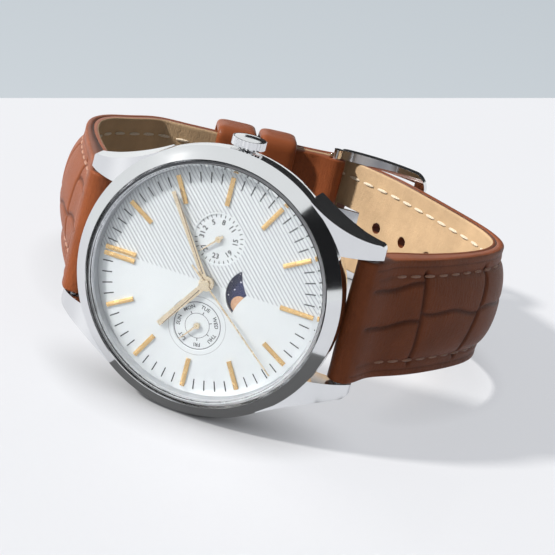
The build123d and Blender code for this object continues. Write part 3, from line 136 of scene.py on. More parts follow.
SHORT_POINT_SHARES = (
    (0.709, 0.163), (0.788, 0.262), (0.875, 0.365), (0.948, 0.469), (0.981, 0.558), (0.957, 0.636),
    (0.893, 0.7),
)

# Sewing and embossing
STITCH_INSET = 2.7
STITCH_PITCH = 3.1
STITCH_LENGTH = 2.35
STITCH_START = 7.5
THREAD_RADIUS = 0.3
INNER_THREAD_RADIUS = 0.27
OUTER_SINK = 0.04
INNER_SINK = 0.05
FIRST_SCALE = 13.5
BOW_START = 4.2
BOW_RISE = 0.075
BOW_SIDE = 2.5
SCALE_ROWS = 14
SCALE_PITCH = 14.5
SCALE_DEPTH = 0.32
SCALE_WIDTH = 0.34
ROW_SHIFT = 1.3
ROW_SWAY = 1.5
SPLIT_SHIFT = 2.6
SPLIT_TILT = 0.12
SECOND_SPLIT = 6.2
FAR = 1e3
PILLOW_HEIGHT = 0.1
PILLOW_REACH = 1.3
NEEDLE_DEPTH = 0.1
NEEDLE_WIDTH = 0.3
EDGE_ROUND = 0.35
EDGE_LINE_INSET = 1.15
EDGE_LINE_DEPTH = 0.07
EDGE_LINE_WIDTH = 0.16
RIM_PLACES = (0, 0.03, 0.09, 0.18, 0.3, 0.5, 0.75, 0.92, 1.04, 1.15, 1.26, 1.4, 1.58)
ACROSS_STEP = 0.28
ALONG_STEP = 0.32
LINING_STEP = 0.48

# Keepers
KEEPER_THICKNESS = 1.4
KEEPER_CLEARANCE = 0.3
FIXED_KEEPER = (17.9, 6.8)
FREE_KEEPER = (10.5, 6.4)
KEEPER_CORNER = 1.5
KEEPER_LIP = 0.12
KEEPER_STEP = 1.2
CORNER_STEPS = 8
SECTION_STEPS = 24

# Dial
DIAL_WHITE = (0.53, 0.56, 0.575)
# painted shade: colour of the ribs' grooves
RIB_PAINTED_SHADE = (0.28, 0.295, 0.32)
RIB_RELIEF = 0.05
GRAIN_SCALE = 9.0
STRIPE_PITCH = 0.54
DATE_PLATE_RADIUS = 4.15
PRINT_LIFT = 0.012
PRINT_WEIGHT = 0.022
PRINT_SPACING = 1.04
MINUTE_TICKS = (60, 15.45, 17.1, 0.19)
SUBDIAL_OFFSET = 7.07
SUBDIAL_FLOOR = -0.12
DATE_TICKS = (31, 3.4, 3.86, 0.13)
DATE_NUMERALS = (31, 2, 5, 8, 11, 15, 19, 23, 27)
DATE_NUMERAL_RADIUS = 2.68
DATE_NUMERAL_SIZE = 1.12
UPSIDE_DOWN = (130, 290)
DAY_TICKS = (7, 1.95, 2.4, 0.13)
DAY_LETTERS = ("SUN", "MON", "TUE", "WED", "THU", "FRI", "SAT")
DAY_LETTER_RADIUS = 2.98
DAY_LETTER_SIZE = 0.82
# radius of a grey line of painted shade along the weekday recess's edge
DAY_RECESS_SHADE_RADIUS = 3.72
OUTER_LINE_RADIUS = 4.6
OUTER_LINE_WIDTH = 0.05
RING_LINE = 0.075
RING_STEPS = 96
# dark strip of painted shade along each hand's groove
HAND_LINE_START = 1.6
HAND_LINE_SHORT = 0.5
HAND_LINE_WIDTH = 0.13
MOON_PIVOT_Y = -7.08
MOON_FACE = -0.63
MOON_RADIUS = 1.35
MOON_ORBIT = 2.54
MOON_ANGLE = 140.5
STAR_PLACES = ((1.21, 3.61), (1.56, 2.22), (0.14, 2.87), (-0.95, 3.64), (2.75, 2.63))
STAR_SIZES = (0.1, 0.15, 0.13, 0.15, 0.11)
STAR_ROOT = 0.45

# Soft edges of the solids that stay
SMOOTH_ANGLE = math.radians(28)
BEVEL_ANGLE = math.radians(35)
MERGE_DISTANCE = 1e-7
BEVELS = {
    "case_middle": 0.1, "case_back": 0.12, "crown": 0.05, "hour_hand": 0.02, "minute_hand": 0.02,
    "buckle_frame": 0.42, "buckle_tongue": 0.18, "release_pin_twelve": 0.06, "release_pin_six": 0.06,
}


# Nodes

def add_node(tree, kind, *values, **settings):
    """new node: values fill its inputs in turn, settings its properties and named inputs"""
    made = tree.nodes.new(kind)
    slots = dict(enumerate(values))
    for key, value in settings.items():
        if hasattr(made, key):
            setattr(made, key, value)
        else:
            slots[key.replace("_", " ")] = value
    for slot, value in slots.items():
        if isinstance(value, bpy.types.NodeSocket):
            tree.links.new(value, made.inputs[slot])
        else:
            made.inputs[slot].default_value = value
    return made


def new_tree(name, kind, inputs, outputs):
    """node tree with named sockets, with the sockets of its input and output nodes"""
    tree = bpy.data.node_groups.new(name, kind)
    for side, sockets in (("INPUT", inputs), ("OUTPUT", outputs)):
        for title, data in sockets.items():
            tree.interface.new_socket(title, in_out=side, socket_type="NodeSocket" + data)
    return tree, tree.nodes.new("NodeGroupInput").outputs, tree.nodes.new("NodeGroupOutput").inputs


def maths(tree, operation, *values):
    """one arithmetic node"""
    return add_node(tree, "ShaderNodeMath", *values, operation=operation).outputs["Value"]


def ranged(tree, factor, low, high):
    """factor stretched to a range"""
    return add_node(tree, "ShaderNodeMapRange", Value=factor, To_Min=low, To_Max=high).outputs["Result"]


def mixed(tree, factor, first, second):
    """colour between two colours or sockets"""
    ends = [(*value, 1.0) if isinstance(value, tuple) else value for value in (first, second)]
    made = add_node(tree, "ShaderNodeMix", data_type="RGBA", Factor=factor, A=ends[0], B=ends[1])
    return made.outputs["Result"]


def shaded(colour, share):
    """colour made darker"""
    return tuple(value * share for value in colour)


def blotch_group():
    """soft blotches: a factor from 0 to 1 that varies over the surface"""
    sockets = {"Vector": "Vector", "Scale": "Float", "Contrast": "Float"}
    group, given, result = new_tree("blotches", "ShaderNodeTree", sockets, {"Factor": "Float"})
    noise = add_node(group, "ShaderNodeTexNoise", Vector=given["Vector"], Scale=given["Scale"],
                     Detail=4.0, Roughness=0.6)
    low = maths(group, "SUBTRACT", 0.5, given["Contrast"])
    high = maths(group, "ADD", 0.5, given["Contrast"])
    spread = add_node(group, "ShaderNodeMapRange", interpolation_type="SMOOTHSTEP",
                      Value=noise.outputs["Fac"], From_Min=low, From_Max=high)
    group.links.new(spread.outputs["Result"], result["Factor"])
    return group


def grain_group():
    """leather grain: fine pebbles and wrinkles that run across the strap"""
    sockets = {"Vector": "Vector", "Pebble Scale": "Float", "Wrinkle Scale": "Float", "Wrinkles": "Float"}
    group, given, result = new_tree(
        "leather_grain", "ShaderNodeTree", sockets, {"Height": "Float", "Pores": "Float"})
    vector, scale = given["Vector"], given["Pebble Scale"]
    pebbles = add_node(group, "ShaderNodeTexVoronoi", feature="SMOOTH_F1", Vector=vector, Scale=scale,
                       Smoothness=0.6)
    fine = add_node(group, "ShaderNodeTexNoise", Vector=vector, Scale=maths(group, "MULTIPLY", scale, 2.5),
                    Detail=6.0, Roughness=0.65)
    stretch = add_node(group, "ShaderNodeMapping", Vector=vector, Scale=(2.6, 0.45, 1.0))
    wrinkles = add_node(group, "ShaderNodeTexNoise", Vector=stretch.outputs["Vector"],
                        Scale=given["Wrinkle Scale"], Detail=5.0, Roughness=0.55, Distortion=0.6)
    wrinkled = maths(group, "MULTIPLY", wrinkles.outputs["Fac"], given["Wrinkles"])
    pebbled = maths(group, "MULTIPLY", pebbles.outputs["Distance"], 0.35)
    total = maths(group, "ADD", maths(group, "ADD", pebbled, wrinkled), fine.outputs["Fac"])
    group.links.new(total, result["Height"])
    group.links.new(fine.outputs["Fac"], result["Pores"])
    return group


BLOTCHES = blotch_group()
GRAIN = grain_group()


def blotches(tree, vector, scale, contrast):
    """blotch factor over the surface"""
    made = add_node(tree, "ShaderNodeGroup", node_tree=BLOTCHES, Vector=vector, Scale=scale,
                    Contrast=contrast)
    return made.outputs["Factor"]


# Materials

def new_material(name, **values):
    """material with its shader, and the values set on the shader"""
    material = bpy.data.materials.new(name)
    material.use_nodes = True
    tree = material.node_tree
    shader = tree.nodes["Principled BSDF"]
    for key, value in values.items():
        shader.inputs[key.replace("_", " ")].default_value = value
    return material, tree, shader


def feed(tree, shader, **sockets):
    """links sockets to a shader's inputs"""
    for key, socket in sockets.items():
        tree.links.new(socket, shader.inputs[key.replace("_", " ")])


def bumped(tree, shader, height, distance):
    """surface relief from a height in millimetres"""
    bump = add_node(tree, "ShaderNodeBump", Height=height, Distance=distance * MM)
    feed(tree, shader, Normal=bump.outputs[0])


def show_blend(tree, factor, first, second, kind="Material"):
    """shows a mix of two shaders"""
    blend = add_node(tree, "ShaderNodeMixShader", factor, first.outputs[0], second.outputs[0])
    tree.links.new(blend.outputs["Shader"], tree.nodes[f"{kind} Output"].inputs["Surface"])


def watch_coordinates(tree):
    """the watch's own coordinates in millimetres, from the object's"""
    source = add_node(tree, "ShaderNodeTexCoord")
    made = add_node(tree, "ShaderNodeMapping", vector_type="TEXTURE", Vector=source.outputs["Object"],
                    Location=DIAL_CENTRE, Rotation=TURN.to_euler(), Scale=(MM, MM, MM))
    return made.outputs["Vector"]


def squared_distance(tree, vector, x, y):
    """square of the distance to a place on the dial"""
    split = add_node(tree, "ShaderNodeSeparateXYZ", vector)
    gaps = [maths(tree, "SUBTRACT", split.outputs[axis], place) for axis, place in (("X", x), ("Y", y))]
    return maths(tree, "ADD", *[maths(tree, "POWER", gap, 2.0) for gap in gaps])


def surface(name, colour, roughness, spread, patches, contrast, dark, relief, **values):
    """material with a patchy colour and roughness, and a fine relief where asked"""
    material, tree, shader = new_material(name, **values)
    vector = watch_coordinates(tree)
    patch = blotches(tree, vector, patches, contrast)
    feed(tree, shader, Base_Color=mixed(tree, patch, colour, shaded(colour, dark)),
         Roughness=ranged(tree, patch, roughness, roughness + spread))
    if relief:
        noise = add_node(tree, "ShaderNodeTexNoise", Vector=vector, Scale=GRAIN_SCALE, Detail=3.0)
        bumped(tree, shader, noise.outputs["Fac"], relief)
    return material


def metal(name, colour, roughness, spread, scale=0.6, brushed=0.0):
    """metal with faint smudges, and a brushed grain where asked"""
    return surface(name, colour, roughness, spread, scale, 0.25, 0.975, brushed, Metallic=1.0)


def plain(name, colour, roughness, relief=0.01):
    """plastic, rubber, lacquer or print with a slightly uneven surface"""
    return surface(name, colour, roughness, 0.08, 1.5, 0.3, 0.9, relief, Specular_IOR_Level=0.25)


def dial_material():
    """white dial: satin on the 9 o'clock half, fine slanting ribs on the other, their grooves darkened with
    painted shade
    """
    material, tree, shader = new_material("dial_lacquer", Metallic=0.65)
    vector = watch_coordinates(tree)
    split = add_node(tree, "ShaderNodeSeparateXYZ", vector)
    x, y = split.outputs["X"], split.outputs["Y"]
    across = maths(tree, "MULTIPLY", maths(tree, "SUBTRACT", x, y), 1 / (STRIPE_PITCH * math.sqrt(2)))
    rib = maths(tree, "MULTIPLY", maths(tree, "PINGPONG", across, 0.5), 2.0)
    reach = squared_distance(tree, vector, SUBDIAL_OFFSET, 0.0)
    outside = maths(tree, "GREATER_THAN", reach, DATE_PLATE_RADIUS**2)
    ribbed = maths(tree, "MULTIPLY", maths(tree, "GREATER_THAN", x, 0.0), outside)
    # painted shade in the ribs' grooves, over their relief
    groove = add_node(tree, "ShaderNodeMapRange", interpolation_type="SMOOTHSTEP", Value=rib,
                      From_Min=0.0, From_Max=0.55, To_Min=1.0, To_Max=0.0)
    shade = maths(tree, "MULTIPLY", groove.outputs["Result"], ribbed)
    patch = blotches(tree, vector, 0.12, 0.4)
    base = mixed(tree, patch, DIAL_WHITE, shaded(DIAL_WHITE, 0.97))
    feed(tree, shader, Base_Color=mixed(tree, shade, base, RIB_PAINTED_SHADE),
         Roughness=ranged(tree, patch, 0.44, 0.5))
    bumped(tree, shader, maths(tree, "MULTIPLY", rib, ribbed), RIB_RELIEF)
    return material


def moon_material():
    """navy lacquer, with the two raised moons in bronze"""
    material, tree, shader = new_material("moon_disc_lacquer", Specular_IOR_Level=0.2)
    vector = watch_coordinates(tree)
    moons = []
    for turn in (math.radians(MOON_ANGLE), math.radians(MOON_ANGLE + 180)):
        x, y = MOON_ORBIT * math.cos(turn), MOON_PIVOT_Y + MOON_ORBIT * math.sin(turn)
        reach = squared_distance(tree, vector, x, y)
        moons.append(maths(tree, "LESS_THAN", reach, (MOON_RADIUS * 1.01) ** 2))
    patch = blotches(tree, vector, 2.5, 0.3)
    bronze = mixed(tree, patch, (0.36, 0.22, 0.13), (0.27, 0.16, 0.095))
    navy = mixed(tree, patch, (0.009, 0.013, 0.055), (0.006, 0.009, 0.04))
    feed(tree, shader, Base_Color=mixed(tree, maths(tree, "MAXIMUM", *moons), navy, bronze),
         Roughness=ranged(tree, patch, 0.42, 0.5))
    return material


def glass_material():
    """clear crystal that lets the light through to the dial"""
    material, tree, shader = new_material("sapphire_crystal", Roughness=0.0, IOR=1.45,
                                          Transmission_Weight=1.0, Base_Color=(0.99, 0.995, 1.0, 1.0))
    shadow = add_node(tree, "ShaderNodeLightPath").outputs["Is Shadow Ray"]
    show_blend(tree, shadow, shader, add_node(tree, "ShaderNodeBsdfTransparent"))
    return material


def leather_material(name, light, dark, roughness, relief, wrinkles, pebble=2.6):
    """aniline leather: mottled colour, a fine grain, and darker pressed lines: partly the pressed leather's own
    deeper tone, partly painted shade
    """
    material, tree, shader = new_material(name, Specular_IOR_Level=0.1, Coat_Weight=0.04, Coat_Roughness=0.2)
    vector = add_node(tree, "ShaderNodeUVMap", uv_map="strap").outputs["UV"]
    mottle = blotches(tree, vector, 0.16, 0.28)
    speckle = blotches(tree, vector, 1.3, 0.35)
    deep = shaded(light, 0.72)
    fine = mixed(tree, ranged(tree, speckle, 0.0, 0.35), mixed(tree, mottle, light, deep), deep)
    crease = add_node(tree, "ShaderNodeAttribute", attribute_name="crease")
    grain = add_node(tree, "ShaderNodeGroup", node_tree=GRAIN, Vector=vector, Pebble_Scale=pebble,
                     Wrinkle_Scale=1.1, Wrinkles=wrinkles)
    # darker along the pressed lines: partly the leather's own tone, partly painted shade
    feed(tree, shader, Base_Color=mixed(tree, crease.outputs["Fac"], fine, dark),
         Roughness=ranged(tree, grain.outputs["Pores"], roughness + 0.12, roughness - 0.06))
    bumped(tree, shader, grain.outputs["Height"], relief)
    return material


def thread_material(name, colour):
    """twisted polyester thread, with painted shade in the hollows between its plies"""
    material, tree, shader = new_material(name, Roughness=0.6, Sheen_Weight=0.3)
    turn = add_node(tree, "ShaderNodeMapping", Vector=watch_coordinates(tree), Rotation=(0.6, 0.5, 0.4))
    ply = add_node(tree, "ShaderNodeTexWave", Vector=turn.outputs["Vector"], Scale=2.2, Distortion=0.4)
    # painted shade: darker in the hollows between the plies, over their bump
    feed(tree, shader, Base_Color=mixed(tree, ply.outputs["Fac"], shaded(colour, 0.6), colour))
    bumped(tree, shader, ply.outputs["Fac"], 0.06)
    return material


materials = {
    "steel": metal("polished_steel", (0.74, 0.75, 0.765), 0.08, 0.02, scale=0.25),
    "rehaut_steel": metal("satin_rehaut", (0.55, 0.56, 0.58), 0.28, 0.08, brushed=0.01),
    "gold": metal("gold_plate", (0.66, 0.44, 0.19), 0.22, 0.08),
    "champagne": metal("pale_gold_plate", (0.72, 0.61, 0.44), 0.22, 0.08),
    "movement_brass": metal("movement_brass", (0.66, 0.52, 0.28), 0.3, 0.1, brushed=0.01),
    "movement_steel": metal("movement_steel", (0.55, 0.56, 0.58), 0.3, 0.1, brushed=0.01),
    "copper": metal("enamelled_copper", (0.7, 0.32, 0.16), 0.3, 0.1),
    "rubber": plain("seal_rubber", (0.13, 0.135, 0.145), 0.5),
    "nylon": plain("holder_nylon", (0.75, 0.75, 0.72), 0.45),
    "board_green": plain("solder_mask", (0.03, 0.2, 0.1), 0.35),
    "black_plastic": plain("chip_plastic", (0.02, 0.02, 0.02), 0.5),
    "dial_white": dial_material(),
    "navy": moon_material(),
    "sapphire": glass_material(),
    # the second colour of each leather is that of its pressed lines: partly own tone, partly painted shade
    "leather_cognac": leather_material(
        "cognac_leather", (0.225, 0.062, 0.021), (0.035, 0.01, 0.006), 0.36, 0.09, 1.5),
    "leather_tan": leather_material(
        "tan_lining", (0.48, 0.335, 0.2), (0.3, 0.17, 0.09), 0.7, 0.06, 1.4, 1.6),
}
EDGE_PAINT = leather_material("painted_edge", (0.2, 0.055, 0.02), (0.12, 0.035, 0.014), 0.34, 0.01, 0.1)
KEEPER_LEATHER = leather_material(
    "keeper_leather", (0.22, 0.06, 0.021), (0.1, 0.028, 0.014), 0.3, 0.03, 0.4)
PRINT_BLACK = plain("printed_black", (0.01, 0.011, 0.014), 0.55, relief=0.002)
# grey for the weekday's outer line and for the painted shade line along the weekday recess
GREY_LINE_AND_PAINTED_SHADE = plain("grey_line_and_painted_shade", (0.12, 0.125, 0.14), 0.45, relief=0.002)
STAR_WHITE = plain("star_white", (0.85, 0.87, 0.9), 0.45, relief=0.002)
# dark metal strip of painted shade for the hands' grooves
HAND_GROOVE_PAINTED_SHADE = metal("hand_groove_painted_shade", (0.2, 0.15, 0.1), 0.4, 0.1)
THREAD_COGNAC = thread_material("cognac_thread", (0.42, 0.19, 0.11))
THREAD_CREAM = thread_material("cream_thread", (0.76, 0.64, 0.48))
OWN_FINISHES = {"case_back": metal("satin_back", (0.6, 0.61, 0.63), 0.3, 0.08, brushed=0.01)}


# Mesh helpers

def make_piece(name, mesh, body, slot, *nodes):
    """puts a mesh given in the watch's axes in place, on its body"""
    mesh.transform(WATCH)
    made = linked(bpy.data.objects.new(name, mesh))
    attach(made, body)
    if nodes:
        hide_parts(*nodes)


def linked(made):
    """object put in the scene"""
    bpy.context.scene.collection.objects.link(made)
    return made


def new_mesh(name, verts, faces, *finishes):
    """mesh from points and faces, with its materials"""
    mesh = bpy.data.meshes.new(name)
    mesh.from_pydata(verts, [], faces)
    for material in finishes:
        mesh.materials.append(material)
    return mesh


def faced_outwards(mesh):
    """closed mesh with its faces turned outwards"""
    work = bmesh.new()
    work.from_mesh(mesh)
    bmesh.ops.recalc_face_normals(work, faces=work.faces)
    work.to_mesh(mesh)
    work.free()
    return mesh


def realised(made):
    """plain mesh of an object with its modifiers, and the object removed"""
    graph = bpy.context.evaluated_depsgraph_get()
    graph.update()
    mesh = bpy.data.meshes.new_from_object(made.evaluated_get(graph), depsgraph=graph)
    bpy.data.objects.remove(made)
    return mesh


def joined(meshes, name):
    """one mesh from several, keeping their materials"""
    total = bmesh.new()
    slots = []
    for mesh in meshes:
        known = len(total.faces)
        total.from_mesh(mesh)
        total.faces.ensure_lookup_table()
        slots += [material for material in mesh.materials if material not in slots]
        places = [slots.index(material) for material in mesh.materials]
        for face in total.faces[known:]:
            if places:
                face.material_index = places[min(face.material_index, len(places) - 1)]
    result = new_mesh(name, [], [], *slots)
    total.to_mesh(result)
    total.free()
    return result


def moved(mesh, x, y, z):
    """mesh shifted in the watch's axes"""
    mesh.transform(Matrix.Translation((x, y, z)))
    return mesh


# Geometry node trees

def repeated(tree, points, mesh, **settings):
    """copies of a mesh on points, made real"""
    spread = add_node(tree, "GeometryNodeInstanceOnPoints", Points=points, Instance=mesh, **settings)
    return add_node(tree, "GeometryNodeRealizeInstances", spread.outputs[0]).outputs[0]


def show_painted(tree, result, geometry, material):
    """gives geometry its material and hands it over"""
    paint = add_node(tree, "GeometryNodeSetMaterial", Geometry=geometry, Material=material)
    tree.links.new(paint.outputs[0], result["Geometry"])
    return tree


def tick_tree():
    """ring of flat ticks, all but every nth"""
    sockets = {"Geometry": "Geometry", "Count": "Int", "Middle Radius": "Float", "Length": "Float",
               "Width": "Float", "Skip": "Int", "Material": "Material"}
    tree, given, result = new_tree("tick_ring", "GeometryNodeTree", sockets, {"Geometry": "Geometry"})
    index = add_node(tree, "GeometryNodeInputIndex").outputs[0]
    angle = maths(tree, "MULTIPLY", maths(tree, "DIVIDE", index, given["Count"]), -2 * math.pi)
    spin = add_node(tree, "ShaderNodeCombineXYZ", Z=angle)
    lift = add_node(tree, "ShaderNodeCombineXYZ", Y=given["Middle Radius"])
    place = add_node(tree, "ShaderNodeVectorRotate", rotation_type="Z_AXIS", Vector=lift.outputs[0],
                     Angle=angle)
    points = add_node(tree, "GeometryNodePoints", Count=given["Count"], Position=place.outputs[0])
    kept = maths(tree, "GREATER_THAN", maths(tree, "MODULO", index, given["Skip"]), 0.5)
    tick = add_node(tree, "GeometryNodeMeshGrid", Size_X=given["Width"], Size_Y=given["Length"],
                    Vertices_X=2, Vertices_Y=2)
    real = repeated(tree, points.outputs[0], tick.outputs["Mesh"], Selection=kept, Rotation=spin.outputs[0])
    return show_painted(tree, result, real, given["Material"])


def stitch_tree():
    """thread stitches laid at even steps along a line"""
    sockets = {"Geometry": "Geometry", "Pitch": "Float", "Length": "Float", "Radius": "Float",
               "Material": "Material"}
    tree, given, result = new_tree("stitch_row", "GeometryNodeTree", sockets, {"Geometry": "Geometry"})
    steps = add_node(tree, "GeometryNodeResampleCurve", mode="LENGTH", Curve=given["Geometry"],
                     Length=given["Pitch"])
    tangent = add_node(tree, "GeometryNodeInputTangent")
    aim = add_node(tree, "FunctionNodeAlignRotationToVector", axis="Z", Vector=tangent.outputs[0])
    thread = add_node(tree, "GeometryNodeMeshUVSphere", Segments=8, Rings=7, Radius=1.0)
    half = maths(tree, "MULTIPLY", given["Length"], 0.5)
    size = add_node(tree, "ShaderNodeCombineXYZ", X=given["Radius"], Y=given["Radius"], Z=half)
    real = repeated(tree, steps.outputs[0], thread.outputs["Mesh"], Rotation=aim.outputs[0],
                    Scale=size.outputs[0])
    smooth = add_node(tree, "GeometryNodeSetShadeSmooth", Geometry=real)
    return show_painted(tree, result, smooth.outputs[0], given["Material"])


def soften_tree():
    """merges a solid's loose triangles and shades them smooth up to an angle"""
    sockets = {"Geometry": "Geometry", "Angle": "Float"}
    tree, given, result = new_tree("soften", "GeometryNodeTree", sockets, {"Geometry": "Geometry"})
    merge = add_node(tree, "GeometryNodeMergeByDistance", Geometry=given["Geometry"], Distance=MERGE_DISTANCE)
    faces = add_node(tree, "GeometryNodeSetShadeSmooth", Geometry=merge.outputs[0])
    angle = add_node(tree, "GeometryNodeInputMeshEdgeAngle")
    flat = add_node(tree, "FunctionNodeCompare", data_type="FLOAT", operation="LESS_THAN",
                    A=angle.outputs["Unsigned Angle"], B=given["Angle"])
    edges = add_node(tree, "GeometryNodeSetShadeSmooth", domain="EDGE", Geometry=faces.outputs[0],
                     Shade_Smooth=flat.outputs[0])
    tree.links.new(edges.outputs[0], result["Geometry"])
    return tree


TICKS = tick_tree()
STITCHES = stitch_tree()
SOFTEN = soften_tree()


def with_tree(made, tree, **values):
    """adds a node modifier, its inputs set by their sockets' identifiers"""
    modifier = made.modifiers.new(tree.name, "NODES")
    modifier.node_group = tree
    sockets = {item.name: item.identifier for item in tree.interface.items_tree
               if item.item_type == "SOCKET" and item.in_out == "INPUT"}
    for title, value in values.items():
        modifier[sockets[title.replace("_", " ")]] = value


# Dial printing, with painted shade lines in the weekday recess and along the hands' grooves

def tick_ring(count, inner, outer, width, skip):
    """mesh of a ring of ticks"""
    carrier = linked(bpy.data.objects.new("tick_carrier", bpy.data.meshes.new("tick_carrier")))
    with_tree(carrier, TICKS, Count=count, Middle_Radius=(inner + outer) / 2, Length=outer - inner,
              Width=width, Skip=skip, Material=PRINT_BLACK)
    return realised(carrier)


def ring_line(radius, width, material):
    """thin flat circle, for printed lines and for the painted shade line along the weekday recess"""
    verts = []
    for step in range(RING_STEPS):
        angle = 2 * math.pi * step / RING_STEPS
        for reach in (radius - width / 2, radius + width / 2):
            verts.append((reach * math.cos(angle), reach * math.sin(angle), 0))
    total = len(verts)
    faces = [(first, first + 1, (first + 3) % total, (first + 2) % total) for first in range(0, total, 2)]
    return new_mesh("ring_line", verts, faces, material)


def printed_text(words, size, radius, angle, flip):
    """flat word at a clock angle on a ring, its top outwards or, flipped, inwards"""
    curve = bpy.data.curves.new("print", "FONT")
    curve.body = words
    curve.size = size
    curve.resolution_u = 3
    curve.align_x = "CENTER"
    curve.align_y = "CENTER"
    curve.offset = PRINT_WEIGHT * size
    curve.space_character = PRINT_SPACING
    mesh = realised(linked(bpy.data.objects.new("print", curve)))
    turn = Matrix.Rotation(math.radians(-angle), 4, "Z")
    own = Matrix.Rotation(math.pi if flip else 0, 4, "Z")
    mesh.transform(turn @ Matrix.Translation((0, radius, 0)) @ own)
    mesh.materials.clear()
    mesh.materials.append(PRINT_BLACK)
    return mesh


def make_print(name, meshes, x, level):
    """one piece on the dial, round a middle: print, and on the weekday ring a painted shade line"""
    make_piece(name, moved(joined(meshes, name), x, 0, level), "case", "dial_white")


def make_printing():
    """minute track, date ring and weekday ring"""
    make_print("minute_track", [tick_ring(*MINUTE_TICKS, 5)], 0, PRINT_LIFT)
    level = SUBDIAL_FLOOR + PRINT_LIFT
    days = DATE_TICKS[0]
    date = [tick_ring(*DATE_TICKS, days + 1)]
    for number in DATE_NUMERALS:
        angle = 360 * (number % days) / days
        flip = UPSIDE_DOWN[0] < angle < UPSIDE_DOWN[1]
        date.append(printed_text(str(number), DATE_NUMERAL_SIZE, DATE_NUMERAL_RADIUS, angle, flip))
    make_print("date_ring", date, SUBDIAL_OFFSET, level)
    days = len(DAY_LETTERS)
    week = [tick_ring(*DAY_TICKS, days + 1)]
    week.append(ring_line(DAY_TICKS[1], RING_LINE, PRINT_BLACK))
    # grey line of painted shade along the recess's edge
    week.append(ring_line(DAY_RECESS_SHADE_RADIUS, 2 * RING_LINE, GREY_LINE_AND_PAINTED_SHADE))
    for number, word in enumerate(DAY_LETTERS):
        week.append(printed_text(word, DAY_LETTER_SIZE, DAY_LETTER_RADIUS, 360 * number / days, False))
    make_print("weekday_ring", week, -SUBDIAL_OFFSET, level)
    outer_line = ring_line(OUTER_LINE_RADIUS, OUTER_LINE_WIDTH, GREY_LINE_AND_PAINTED_SHADE)
    make_print("weekday_outer_line", [outer_line], -SUBDIAL_OFFSET, PRINT_LIFT)


def make_hand_line(hand):
    """dark strip along the middle of a hand's upper face: painted shade in its groove"""
    solid = frame["nodes"][hand]
    to_watch = WATCH.inverted() @ solid.matrix_world
    corners = [to_watch @ vertex.co for vertex in solid.data.vertices]
    tip = max(corners, key=lambda corner: corner.x**2 + corner.y**2)
    level = max(corner.z for corner in corners if corner.xy.length > HAND_LINE_START) + PRINT_LIFT
    along = tip.xy.normalized()
    side = Vector((-along.y, along.x)) * HAND_LINE_WIDTH / 2
    start = along * HAND_LINE_START
    end = along * (tip.xy.length - HAND_LINE_SHORT)
    verts = [(*spot, level) for spot in (start - side, end - side, end + side, start + side)]
    mesh = new_mesh(f"{hand}_groove", verts, [(0, 1, 2, 3)], HAND_GROOVE_PAINTED_SHADE)
    make_piece(f"{hand}_groove", mesh, hand, "champagne")


def star_shape(radius, x, y):
    """small five pointed star"""
    verts, steps = [(x, y, 0)], 10
    for step in range(steps):
        reach = radius if step % 2 == 0 else radius * STAR_ROOT
        angle = 2 * math.pi * step / steps
        verts.append((x + reach * math.sin(angle), y + reach * math.cos(angle), 0))
    faces = [(0, 1 + (step + 1) % steps, 1 + step) for step in range(steps)]
    return new_mesh("star", verts, faces, STAR_WHITE)


def make_stars():
    """stars of both halves of the moon disc"""
    stars = []
    for (x, y), size in zip(STAR_PLACES, STAR_SIZES):
        for sign in (1, -1):
            stars.append(star_shape(size, sign * x, sign * y))
    mesh = moved(joined(stars, "moon_stars"), 0, MOON_PIVOT_Y, MOON_FACE + PRINT_LIFT)
    make_piece("moon_stars", mesh, "moon_disc", "navy")


# Strap route

def turned_point(radius, angle, y, z):
    """point at a radius and an angle about a bar"""
    return np.array((y + radius * math.cos(math.radians(angle)), z + radius * math.sin(math.radians(angle))))


SEAM = turned_point(1, SEAM_ANGLE, 0, 0)
SEAM_OUT = np.array((SEAM[1], -SEAM[0]))
PIVOT = np.array((PIVOT_Y, PIVOT_Z))
LONG_OUTER = SEAM_GAP + STRAP_THICKNESS


def seam_point(along, outward):
    """point beside the buckle bar, along the straight seam and out from it"""
    return PIVOT + along * SEAM + (BUCKLE_ROLL + outward) * SEAM_OUT


def smooth_line(points, first_tangent, last_tangent, steps=60):
    """cubic line through points with both end directions"""
    points = np.array(points)
    gaps = np.linalg.norm(np.diff(points, axis=0), axis=1)
    count = len(points)
    system = np.eye(count)
    right = np.zeros((count, 2))
    right[0], right[-1] = first_tangent, last_tangent
    for row in range(1, count - 1):
        before, after = gaps[row - 1], gaps[row]
        system[row, row - 1:row + 2] = (after, 2 * (before + after), before)
        back = after * (points[row] - points[row - 1]) / before
        ahead = before * (points[row + 1] - points[row]) / after
        right[row] = 3 * (back + ahead)
    slopes = np.linalg.solve(system, right)
    share = np.linspace(0, 1, steps, endpoint=False)[:, None]
    spans = []
    for row in range(count - 1):
        gap = gaps[row]
        spans.append(
            (2 * share**3 - 3 * share**2 + 1) * points[row]
            + (share**3 - 2 * share**2 + share) * gap * slopes[row]
            + (3 * share**2 - 2 * share**3) * points[row + 1]
            + (share**3 - share**2) * gap * slopes[row + 1]
        )
    return np.vstack([*spans, points[-1:]])


